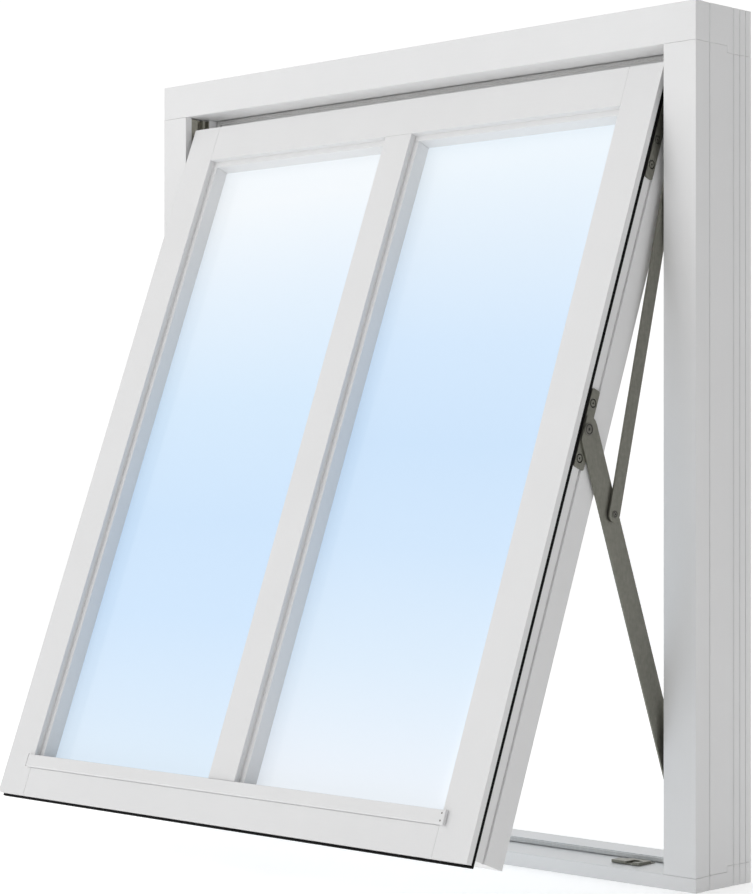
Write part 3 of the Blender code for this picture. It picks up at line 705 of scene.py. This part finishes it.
def screws(name: str, spots: Sequence[Vector], outwards: Vector, radius: float, height: float,
           material: bpy.types.Material, drive: bool = True) -> bpy.types.Object:
    """Screw heads, or plain discs, one at each point.

    Args:
        name: the piece's name.
        spots: the middle of each head's outer face.
        outwards: the way the heads face.
        radius: a head's radius.
        height: a head's height.
        material: their material.
        drive: whether each has a six-sided drive recess.

    Returns:
        The heads as one plain piece.
    """
    tree = NodeTree("screws", Radius=radius, Rim=radius * RIM_SHARE, Height=height,
                    Recess=radius * DRIVE_SHARE)
    head = tree.node("GeometryNodeMeshCone", {"fill_type": "NGON"},
                     {"Vertices": HEAD_FACETS, "Radius Top": tree.size("Rim"),
                      "Radius Bottom": tree.size("Radius"), "Depth": tree.size("Height")})
    if drive:
        star = tree.node("GeometryNodeMeshCylinder", {"fill_type": "NGON"},
                         {"Vertices": DRIVE_SIDES, "Radius": tree.size("Recess"),
                          "Depth": tree.size("Height")})
        raised = tree.node("GeometryNodeTransform", {},
                           {"Geometry": star.outputs[0], "Translation": (0.0, 0.0, height)})
        head = tree.node("GeometryNodeMeshBoolean", {"operation": "DIFFERENCE"},
                         {"Mesh 1": head.outputs[0], "Mesh 2": raised.outputs[0]})
    sunk = tree.node("GeometryNodeTransform", {}, {"Geometry": head.outputs[0],
                                                   "Translation": (0.0, 0.0, -height)})
    turn = outwards.to_track_quat("Z", "Y").to_euler()
    heads = tree.node("GeometryNodeInstanceOnPoints", {},
                      {"Points": tree.entry.outputs[0], "Instance": sunk.outputs[0],
                       "Rotation": tuple(turn)})
    return tree.run(name, point_cloud(name, spots), heads.outputs[0], material)


def strip(name: str, path: bpy.types.Mesh, width: float, depth: float, corner: float,
          material: bpy.types.Material) -> bpy.types.Object:
    """A seal of rounded section swept along a path.

    The sweep isn't mitred, so the section is narrowed wherever the path turns a corner.

    Args:
        name: the piece's name.
        path: the path's mesh.
        width: the section's width.
        depth: the section's depth.
        corner: the radius of its corners.
        material: its material.

    Returns:
        The seal as a plain piece.
    """
    tree = NodeTree("strip", Width=width, Depth=depth, Corner=corner)
    line = tree.node("GeometryNodeMeshToCurve", {}, {"Mesh": tree.entry.outputs[0]})
    square = tree.node("GeometryNodeCurvePrimitiveQuadrilateral", {},
                       {"Width": tree.size("Width"), "Height": tree.size("Depth")})
    section = tree.node("GeometryNodeFilletCurve", {"mode": "POLY"},
                        {"Curve": square.outputs[0], "Count": CORNER_STEPS,
                         "Radius": tree.size("Corner")})
    swept = tree.node("GeometryNodeCurveToMesh", {},
                      {"Curve": line.outputs[0], "Profile Curve": section.outputs[0],
                       "Fill Caps": True})
    return tree.run(name, path, swept.outputs[0], material)


# ---- the shop floor
@dataclass
class Workshop:
    """What every sub-assembly shares: the frame, the sash's directions and the finishes."""

    frame: dict[str, Any]
    space: SashSpace = field(init=False)
    paint: dict[Grain, bpy.types.Material] = field(init=False)

    def __post_init__(self) -> None:
        """Reads the sash's directions and mixes the finishes."""
        self.space = SashSpace({joint["name"]: joint for joint in self.frame["joints"]})
        tilt = self.space.tilt
        self.paint = {grain: BrushedPaint(grain).material(tilt) for grain in Grain}
        self.steel = ZincSteel("stay_steel", (0.195, 0.195, 0.165),
                               (0.265, 0.26, 0.225)).material(tilt)
        self.track = ZincSteel("track_steel", (0.34, 0.33, 0.28), (0.44, 0.43, 0.37)).material(tilt)
        self.rivet = ZincSteel("rivet_steel", (0.14, 0.14, 0.12), (0.22, 0.21, 0.19),
                               0.36).material(tilt)
        # near-black steel for painted shade in screw holes, drive recesses and rivet hollows
        self.shadow = ZincSteel("oiled_gap", (0.012, 0.012, 0.010), (0.03, 0.03, 0.026),
                                0.6, 0.2).material(tilt)
        self.rubber = SealRubber("seal_rubber", (0.001, 0.001, 0.001),
                                 (0.003, 0.003, 0.003)).material()
        self.pale_seal = SealRubber("pale_seal", (0.66, 0.66, 0.65), (0.72, 0.72, 0.71)).material()
        self.nylon = Moulded("shoe_nylon", (0.03, 0.03, 0.03), 0.5).material()
        self.alloy = Moulded("handle_metal", (0.62, 0.62, 0.60), 0.32, 0.9).material()
        self.mill = Moulded("spacer_bar", (0.46, 0.47, 0.48), 0.45, 0.4).material()

    def node(self, name: str) -> bpy.types.Object:
        """A CAD node by name."""
        return self.frame["nodes"][name]

    def body(self, name: str) -> str:
        """The body that a CAD node belongs to."""
        return self.node(name)["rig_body"]

    @staticmethod
    def layer(name: str) -> list[float]:
        """A CAD node's nearest and furthest distance from the window's middle."""
        low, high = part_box(name)
        return sorted((abs(low.x), abs(high.x)))

    def finish(self, piece: bpy.types.Object, body: str, slot: str, *nodes: str) -> None:
        """Hands a finished piece to the frame.

        Args:
            piece: the piece.
            body: the body it rides on.
            slot: the record's material slot; not used.
            nodes: the CAD nodes that it stands for.
        """
        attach(piece, body)
        if nodes:
            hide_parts(*nodes)
        LOG.info("%s on %s, %d faces", piece.name, body, len(piece.data.polygons))

    def soften(self, node: str, width: float, material: bpy.types.Material, slot: str,
               change: Optional[Callable[[bpy.types.Object], None]] = None) -> None:
        """Makes a node's finished piece: its own shape with eased arrises.

        Args:
            node: the CAD node.
            width: the rounding in metres.
            material: what it is dressed in.
            slot: the record's material slot.
            change: a cut or addition made before the arrises are eased.
        """
        piece = new_piece(node + "_finished", welded_copy(self.node(node)), material)
        if change:
            change(piece)
        self.finish(ease(piece, width), self.body(node), slot, node)


@dataclass
class FixedFrame:
    """Head, sill and jambs with their tracks, strikers, anchors and stop seal."""

    shop: Workshop
    arris: float = 0.0005
    steel_edge: float = 0.0004
    anchor_edge: float = 0.0003
    flange: float = 0.0060           # from the track's front edge to its screws
    screw_count: int = 6
    screw_margin: float = 0.070
    screw_radius: float = 0.0030
    screw_height: float = 0.0008
    screw_proud: float = 0.00025
    seal_band: float = 0.0075
    seal_corner: float = 0.0010

    def build(self) -> None:
        """Builds and dresses the fixed frame."""
        paint = self.shop.paint
        for node, grain in (("frame_head", Grain.LEVEL), ("frame_sill", Grain.LEVEL),
                            ("frame_jamb_left", Grain.UPRIGHT),
                            ("frame_jamb_right", Grain.UPRIGHT)):
            self.shop.soften(node, self.arris, paint[grain], "white_paint")
        for name, side in SIDES:
            self.shop.soften("track_" + name, self.steel_edge, self.shop.track, "track_steel")
            self.shop.soften("striker_" + name, self.steel_edge, self.shop.steel, "stay_steel")
            self.shop.soften("link_anchor_" + name, self.anchor_edge, self.shop.steel,
                             "stay_steel")
            self._track_screws(name, side)
        self._stop_seal()

    def _track_screws(self, name: str, side: int) -> None:
        """Screws on the track's front flange, spaced evenly down it."""
        low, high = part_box("track_" + name)
        inner = high.x if side < 0 else low.x
        x, y = inner - side * self.screw_proud, low.y + self.flange
        rise = (high.z - low.z - 2 * self.screw_margin) / (self.screw_count - 1)
        spots = [Vector((x, y, low.z + self.screw_margin + index * rise))
                 for index in range(self.screw_count)]
        heads = screws("track_screws_" + name, spots, Vector((-side, 0.0, 0.0)),
                       self.screw_radius, self.screw_height, self.shop.rivet)
        self.shop.finish(heads, "frame", "track_steel")

    def _stop_seal(self) -> None:
        """The seal in the stop's corner, swept round the opening."""
        low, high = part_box("stop_gasket")
        half = self.seal_band / 2
        corners = [(low.x + half, low.z + half), (high.x - half, low.z + half),
                   (high.x - half, high.z - half), (low.x + half, high.z - half)]
        path = point_cloud("stop_seal", (Vector((x, (low.y + high.y) / 2, z)) for x, z in corners),
                           joined=True, ring=True)
        seal = strip("stop_seal", path, high.y - low.y, self.seal_band, self.seal_corner,
                     self.shop.pale_seal)
        self.shop.finish(seal, "frame", "pale_seal", "stop_gasket")


# the painted sky reflection on each pane, from its foot to its top
PAINTED_SKY = {
    "left": ((0.00, swatch(229, 243, 255)), (0.09, swatch(221, 238, 254)),
             (0.25, swatch(209, 232, 255)), (0.40, swatch(206, 230, 254)),
             (0.59, swatch(214, 235, 254)), (0.76, swatch(229, 242, 254)),
             (0.93, swatch(245, 250, 254))),
    "right": ((0.00, swatch(245, 250, 254)), (0.06, swatch(240, 247, 255)),
              (0.21, swatch(224, 240, 255)), (0.37, swatch(211, 233, 255)),
              (0.52, swatch(206, 230, 254)), (0.67, swatch(213, 234, 255)),
              (0.82, swatch(227, 241, 254)), (0.95, swatch(239, 248, 255))),
}


@dataclass
class Sash:
    """The timber sash with its beads, seals and glass."""

    shop: Workshop
    arris: float = 0.0008
    bead_arris: float = 0.0006
    fine_arris: float = 0.0004       # on the bead's caps, the panes and the spacers
    seal_hang: float = 0.0040        # how far the seal's path is lowered at the foot
    seal_corner: float = 0.0005
    pin_inset: float = 0.0060
    pin_radius: float = 0.0013
    pin_height: float = 0.0008
    pin_proud: float = 0.0002
    room_alpha: float = 0.55
    room_glow: float = 0.10
    room_body: float = 0.80
    sky_alpha: float = 0.97

    def build(self) -> None:
        """Builds and dresses the sash."""
        paint = self.shop.paint
        for node, grain in (("sash_stile_left", Grain.SASH), ("sash_stile_right", Grain.SASH),
                            ("sash_top_rail", Grain.LEVEL), ("sash_bottom_rail", Grain.LEVEL),
                            ("sash_mid_bar", Grain.SASH)):
            self.shop.soften(node, self.arris, paint[grain], "white_paint")
        self.shop.soften("outer_bead", self.bead_arris, paint[Grain.LEVEL], "white_paint")
        for name, side in SIDES:
            self.shop.soften("bead_cap_" + name, self.fine_arris, paint[Grain.LEVEL],
                             "white_paint")
            for edge, grain in (("bar", Grain.SASH), ("stile", Grain.SASH), ("top", Grain.LEVEL),
                                ("foot", Grain.LEVEL)):
                self.shop.soften(f"inner_bead_{name}_{edge}", self.bead_arris, paint[grain],
                                 "white_paint")
            self._glass(name)
        self._cap_pins("right", 1)
        self._weather_seal()

    def _cap_pins(self, name: str, side: int) -> None:
        """Two small dark pins in the front of the bead, by its end cap."""
        space = self.shop.space
        low, high = space.box(self.shop.node("bead_cap_" + name))
        x = side * (max(abs(low.x), abs(high.x)) - self.pin_inset)
        face = space.box(self.shop.node("outer_bead"))[0].y
        rise = (high.z - low.z) / 4
        spots = [space.at(x, face - self.pin_proud, low.z + rise * step) for step in (1, 3)]
        pins = screws("bead_pins_" + name, spots, -space.back, self.pin_radius, self.pin_height,
                      self.shop.rivet)
        self.shop.finish(pins, "sash", "stay_steel")

    def _glass(self, name: str) -> None:
        """Both panes of a unit and the spacer between them."""
        outer, inner = self.shop.node("outer_pane_" + name), self.shop.node("inner_pane_" + name)
        low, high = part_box(outer.name)
        sky = PaintedLightGlass("sky_glass_" + name, low.z, high.z, self.sky_alpha,
                       PAINTED_SKY[name]).material()
        # the room pane also glows faintly: a painted glow of its own pale blue
        room = PaintedLightGlass("room_glass_" + name, low.z, high.z, self.room_alpha,
                        ((0.0, (0.80, 0.88, 0.93)), (1.0, (0.86, 0.92, 0.95))),
                        self.room_glow, self.room_body).material()
        for node, material in ((outer, sky), (inner, room)):
            self.shop.soften(node.name, self.fine_arris, material, "clear_glass")
        self.shop.soften("spacer_" + name, self.fine_arris, self.shop.mill, "spacer_bar")

    def _weather_seal(self) -> None:
        """One seal swept down both sides and along the foot, behind the lip."""
        space = self.shop.space
        nodes = ("weather_seal_left", "weather_seal_right", "weather_seal_bottom")
        left_low, left_high = space.box(self.shop.node(nodes[0]))
        foot_low, _ = space.box(self.shop.node(nodes[2]))
        back = (left_low.y + left_high.y) / 2
        width = left_high.x - left_low.x
        x, foot = -left_low.x - width / 2, foot_low.z - self.seal_hang + width / 2
        corners = [(-x, left_high.z), (-x, foot), (x, foot), (x, left_high.z)]
        path = point_cloud("weather_seal", (space.at(px, back, up) for px, up in corners),
                           joined=True)
        seal = strip("weather_seal", path, width, left_high.y - left_low.y, self.seal_corner,
                     self.shop.rubber)
        self.shop.finish(seal, "sash", "seal_rubber", *nodes)


@dataclass
class Stay:
    """One side's plates, arms, rivets and shoes."""

    shop: Workshop
    name: str
    side: int
    edge: float = 0.0004
    shoe_edge: float = 0.0008
    mid_drops: Pair = (0.019, 0.096)    # from the plate's top down to its screws
    top_drops: Pair = (0.098, 0.135)
    screw_line: float = 0.0075          # from the plate's front edge back to its screws
    screw_sunk: float = 0.0001
    screw_radius: float = 0.0046
    head_height: float = 0.0016
    hole_radius: float = 0.0062
    hole_reach: float = 0.004
    drive_radius: float = 0.0014
    film: float = 0.0002
    # thickness of the rivets' dark discs of painted shade
    rivet_shade_film: float = 0.00012
    core: float = 0.0040                # radius of the rivets' shanks

    def build(self) -> None:
        """Builds and dresses one stay."""
        self._plate("mid_plate_" + self.name, self.mid_drops)
        self._plate("top_plate_" + self.name, self.top_drops)
        for node in ("arm_", "link_"):
            self.shop.soften(node + self.name, self.edge, self.shop.steel, "stay_steel")
        self._sash_rivet()
        self._link_rivet()
        for node in ("slider_", "guide_shoe_"):
            self.shop.soften(node + self.name, self.shoe_edge, self.shop.nylon, "shoe_nylon")

    def _plate(self, node: str, drops: Pair) -> None:
        """A plate, its flush screws, and dark discs of painted shade in the screws' holes and drive
        recesses.

        Args:
            node: the plate's CAD node.
            drops: how far each screw lies below the plate's top.
        """
        space = self.shop.space
        low, high = space.box(self.shop.node(node))
        outer = self.side * max(abs(low.x), abs(high.x))
        face, line = outer - self.side * self.screw_sunk, low.y + self.screw_line
        spots = [space.at(face, line, high.z - drop) for drop in drops]
        outwards = Vector((self.side, 0.0, 0.0))

        def countersink(piece: bpy.types.Object) -> None:
            """Cuts the screws' holes."""
            radius, reach = self.hole_radius, self.hole_reach
            for spot in spots:
                hole = new_piece("hole", turned([(0.0, -reach), (radius, -reach),
                                                 (radius, reach), (0.0, reach)],
                                                spot, self.side), self.shop.steel)
                step = piece.modifiers.new("hole", "BOOLEAN")
                step.operation, step.object, step.solver = "DIFFERENCE", hole, "EXACT"
                settle(piece)
                bpy.data.objects.remove(hole, do_unlink=True)

        self.shop.soften(node, self.edge, self.shop.steel, "stay_steel", countersink)
        heads = screws(node + "_screws", spots, outwards, self.screw_radius, self.head_height,
                       self.shop.steel)
        self.shop.finish(heads, "sash", "stay_steel")
        # dark discs of painted shade at the back of each screw hole and in each drive recess
        floor = abs(high.x - low.x) - 2 * self.film
        recess = self.head_height / 2 - self.film / 2
        for tag, sunk, radius in (("_seats", floor, self.hole_radius - self.film),
                                  ("_drives", recess, self.drive_radius)):
            marks = screws(node + tag, [spot - outwards * sunk for spot in spots], outwards,
                           radius, self.film, self.shop.shadow, drive=False)
            self.shop.finish(marks, "sash", "stay_steel")

    def _centre(self, joint: str) -> Vector:
        """A joint's place in the middle plane of the window."""
        spot = Vector(self.shop.space.joints[joint]["pos_m"])
        spot.x = 0.0
        return spot

    def _rivet(self, node: str, centre: Vector, rows: Sequence[Pair]) -> None:
        """A turned rivet in place of its CAD node.

        Args:
            node: the rivet's CAD node.
            centre: a point on its axis, in the middle plane.
            rows: its profile as (radius, distance from the middle plane).
        """
        piece = new_piece(node + "_turned", turned(rows, centre, self.side), self.shop.rivet)
        self.shop.finish(piece, self.shop.body(node), "stay_steel", node)

    def _dark_marks(self, node: str, centre: Vector, level: float, ring: Pair,
                    dot: float) -> None:
        """Painted shade: dark discs in a rivet head's ring groove and its middle dimple.

        Args:
            node: the rivet's CAD node.
            centre: a point on its axis, in the middle plane.
            level: the marks' distance from the middle plane.
            ring: the ring's inner and outer radius.
            dot: the middle's radius.
        """
        film = self.rivet_shade_film
        inner, outer = ring
        for tag, rows in (("ring", [(inner, level), (outer, level), (outer, level + film),
                                    (inner, level + film), (inner, level)]),
                          ("middle", [(0.0, level), (dot, level), (dot, level + film),
                                      (0.0, level + film)])):
            mark = new_piece(f"{node}_{tag}", turned(rows, centre, self.side), self.shop.shadow)
            self.shop.finish(mark, self.shop.body(node), "stay_steel")

    def _sash_rivet(self) -> None:
        """The broad, low rivet that carries the sash, with a dimple in its head."""
        inner, outer = self.shop.layer("sash_rivet_" + self.name)
        base, radius, sunk = outer - 0.0009, 0.0085, outer - 0.0005
        centre = self._centre("sash_swing")
        self._rivet("sash_rivet_" + self.name, centre,
                    [(0.0, inner), (self.core, inner), (self.core, base), (radius, base),
                     (radius, base + 0.0004), (radius - 0.0006, outer), (0.0068, outer),
                     (0.0067, sunk), (0.0056, sunk), (0.0054, outer), (0.0022, outer),
                     (0.0020, sunk), (0.0, sunk)])
        self._dark_marks("sash_rivet_" + self.name, centre, sunk, (0.0057, 0.0066), 0.0019)

    def _link_rivet(self) -> None:
        """The rivet between link and arm: tail, spacer collar and a domed head."""
        inner, outer = self.shop.layer("link_rivet_" + self.name)
        arm_in, arm_out = self.shop.layer("arm_" + self.name)
        link_in, link_out = self.shop.layer("link_" + self.name)
        core, gap, sunk = self.core, 0.0003, outer - 0.0004
        centre = self._centre(f"main_arm_{self.name}_swing")
        self._rivet("link_rivet_" + self.name, centre,
                    [(0.0, inner), (0.0050, inner), (0.0062, inner + 0.0004),
                     (0.0062, arm_in - gap), (core, arm_in - gap), (core, arm_out + gap),
                     (0.0070, arm_out + gap), (0.0070, link_in - gap), (core, link_in - gap),
                     (core, link_out + gap), (0.0050, link_out + gap),
                     (0.0046, outer), (0.0040, outer), (0.0038, sunk), (0.0029, sunk),
                     (0.0027, outer), (0.0014, outer), (0.0013, sunk), (0.0, sunk)])
        self._dark_marks("link_rivet_" + self.name, centre, sunk, (0.0030, 0.0037), 0.0012)


@dataclass
class Lock:
    """The room-side handle and the locking gear in the bottom rail."""

    shop: Workshop
    ring: int = 28
    roundness: float = 0.75          # 1 for an ellipse, less for a squarer section
    case_edge: float = 0.0005
    rod_edge: float = 0.0003
    rosette_edge: float = 0.0010
    spindle: Pair = (0.0040, 0.0040)
    neck: float = 0.0070
    bend_start: float = 0.022
    bend_radius: float = 0.0180
    bend_steps: int = 5
    widening: float = 0.0020         # over the bend
    thinning: float = 0.0012
    grip_back: float = 0.040
    grip: Pair = (0.0090, 0.0056)
    tip_start: float = 0.094
    tip_reach: float = 0.0112

    def build(self) -> None:
        """Builds and dresses the lock."""
        self.shop.soften("lock_case", self.case_edge, self.shop.steel, "stay_steel")
        for name, _ in SIDES:
            self.shop.soften("lock_rod_" + name, self.rod_edge, self.shop.steel, "stay_steel")
        self.shop.soften("handle_rosette", self.rosette_edge, self.shop.alloy, "handle_metal")
        self._lever()

    def _section(self, hub: Vector, back: float, up: float, size: Pair,
                 lean: float) -> list[Vector]:
        """One rounded ring of the lever.

        Args:
            hub: the handle's axis on the rail's back face.
            back: distance from the rail into the room.
            up: distance up the sash.
            size: half its width across and half its thickness.
            lean: how far the ring has turned from facing the room to facing up.

        Returns:
            The ring's points.
        """
        space = self.shop.space
        across = Vector((1.0, 0.0, 0.0))
        thick = space.up * math.cos(lean) - space.back * math.sin(lean)
        middle = hub + space.back * back + space.up * up
        points = []
        for index in range(self.ring):
            angle = 2 * math.pi * index / self.ring
            wide, deep = (math.copysign(abs(share) ** self.roundness, share)
                          for share in (math.cos(angle), math.sin(angle)))
            points.append(middle + across * size[0] * wide + thick * size[1] * deep)
        return points

    def _lever(self) -> None:
        """The lever: a round neck that bends into a flat, rounded grip."""
        hub = Vector(self.shop.space.joints["handle_turn"]["pos_m"])
        neck, radius = (self.neck, self.neck), self.bend_radius
        spots: list[tuple[float, float, Pair, float]] = [
            (-0.032, 0.0, self.spindle, 0.0), (0.0004, 0.0, self.spindle, 0.0),
            (0.0005, 0.0, neck, 0.0), (self.bend_start, 0.0, neck, 0.0)]
        for step in range(self.bend_steps + 1):
            lean = math.pi / 2 * step / self.bend_steps
            share = step / self.bend_steps
            size = (self.neck + self.widening * share, self.neck - self.thinning * share)
            spots.append((self.bend_start + radius * math.sin(lean),
                          radius * (1 - math.cos(lean)), size, lean))
        for rise in (0.040, 0.062, 0.082, 0.094, 0.1000, 0.1035, 0.1048):
            past = max(rise - self.tip_start, 0.0)
            narrow = math.sqrt(max(1 - past ** 2 / self.tip_reach ** 2, 0.04))
            size = (self.grip[0] * narrow, self.grip[1] * narrow)
            spots.append((self.grip_back, rise, size, math.pi / 2))
        lever = new_piece("handle_lever_lofted",
                          loft([self._section(hub, *spot) for spot in spots]), self.shop.alloy)
        self.shop.finish(lever, "handle", "handle_metal", "handle_lever")


# ---- studio
@dataclass
class Studio:
    """Pale floor, soft light and the camera."""

    eye: Place = (2.5351, -2.6686, 0.5667)
    azimuth: float = 44.805
    lens: float = 98.67
    sensor: float = 36.0
    rise: float = 0.0224
    aim: Place = (0.0, 0.0, 0.6)
    light_size: float = 2.4
    key: tuple[Place, float] = ((-1.6, -3.4, 3.0), 22.0)    # place and power
    room: tuple[Place, float] = ((0.6, 3.4, 2.6), 14.0)
    floor_size: float = 60.0
    floor_drop: float = 0.0005
    floor_glow: float = 0.40
    white_wall: float = 1.05
    right_wall: float = 0.24

    def build(self) -> None:
        """Builds the studio."""
        self._camera()
        self._floor()
        self._light("key", *self.key)
        self._light("room", *self.room)
        self._surround()
        bpy.context.scene.view_settings.view_transform = "Standard"

    def _surround(self) -> None:
        """A white room that darkens towards the window's right-hand side."""
        world = bpy.data.worlds.new("studio")
        world.use_nodes = True
        tree = ShaderTree(world.node_tree)
        backdrop = world.node_tree.nodes["Background"]
        heading = tree.node("ShaderNodeTexCoord", {}, {}, "Generated")
        across = tree.node("ShaderNodeSeparateXYZ", {}, {"Vector": heading}, "X")
        bright, dim = self.white_wall, self.right_wall
        wall = tree.ramp(0.5 + 0.5 * across, ((0.30, (bright, bright, bright)),
                                              (0.80, (dim, dim, dim))))
        tree.tree.links.new(wall.socket, backdrop.inputs["Color"])
        backdrop.inputs["Strength"].default_value = 1.0
        bpy.context.scene.world = world

    def _camera(self) -> None:
        """The level camera, with its horizon a little above the middle."""
        data = bpy.data.cameras.new("camera")
        data.lens, data.sensor_width, data.shift_y = self.lens, self.sensor, self.rise
        camera = bpy.data.objects.new("camera", data)
        camera.location = self.eye
        camera.rotation_euler = (math.pi / 2, 0.0, math.radians(self.azimuth))
        bpy.context.scene.collection.objects.link(camera)
        bpy.context.scene.camera = camera

    def _floor(self) -> None:
        """A plain pale floor, just under the sill."""
        half = self.floor_size / 2
        mesh = bpy.data.meshes.new("floor")
        work = bmesh.new()
        bmesh.ops.create_grid(work, x_segments=1, y_segments=1, size=half)
        bmesh.ops.translate(work, verts=work.verts, vec=(0.0, 0.0, -self.floor_drop))
        work.to_mesh(mesh)
        work.free()
        shader = Shader("floor", Roughness=0.9, Specular_IOR_Level=0.1,
                        Emission_Color=(1.0, 1.0, 1.0, 1.0), Emission_Strength=self.floor_glow)
        cloud = shader.noise(shader.place(), 0.8, 2.0)
        shader.feed("Base Color", shader.ramp(cloud, ((0.0, (0.90, 0.90, 0.90)),
                                                      (1.0, (0.93, 0.93, 0.93)))))
        new_piece("floor", mesh, shader.material)

    def _light(self, name: str, place: Place, power: float) -> None:
        """A soft square light.

        Args:
            name: its name.
            place: where it stands.
            power: its power in watts.
        """
        data = bpy.data.lights.new(name, "AREA")
        data.size, data.energy = self.light_size, power
        lamp = bpy.data.objects.new(name, data)
        lamp.location = place
        way = Vector(self.aim) - Vector(place)
        lamp.rotation_euler = way.to_track_quat("-Z", "Y").to_euler()
        bpy.context.scene.collection.objects.link(lamp)


def clear_start_objects() -> None:
    """Removes what a new file starts with."""
    for item in list(bpy.data.objects):
        bpy.data.objects.remove(item, do_unlink=True)


def main() -> None:
    """Builds the window's looks and its studio."""
    logging.basicConfig(level=logging.INFO, format="%(message)s")
    clear_start_objects()
    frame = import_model()
    shop = Workshop(frame)
    Studio().build()
    FixedFrame(shop).build()
    Sash(shop).build()
    for name, side in SIDES:
        Stay(shop, name, side).build()
    Lock(shop).build()


if __name__ == "__main__":
    main()
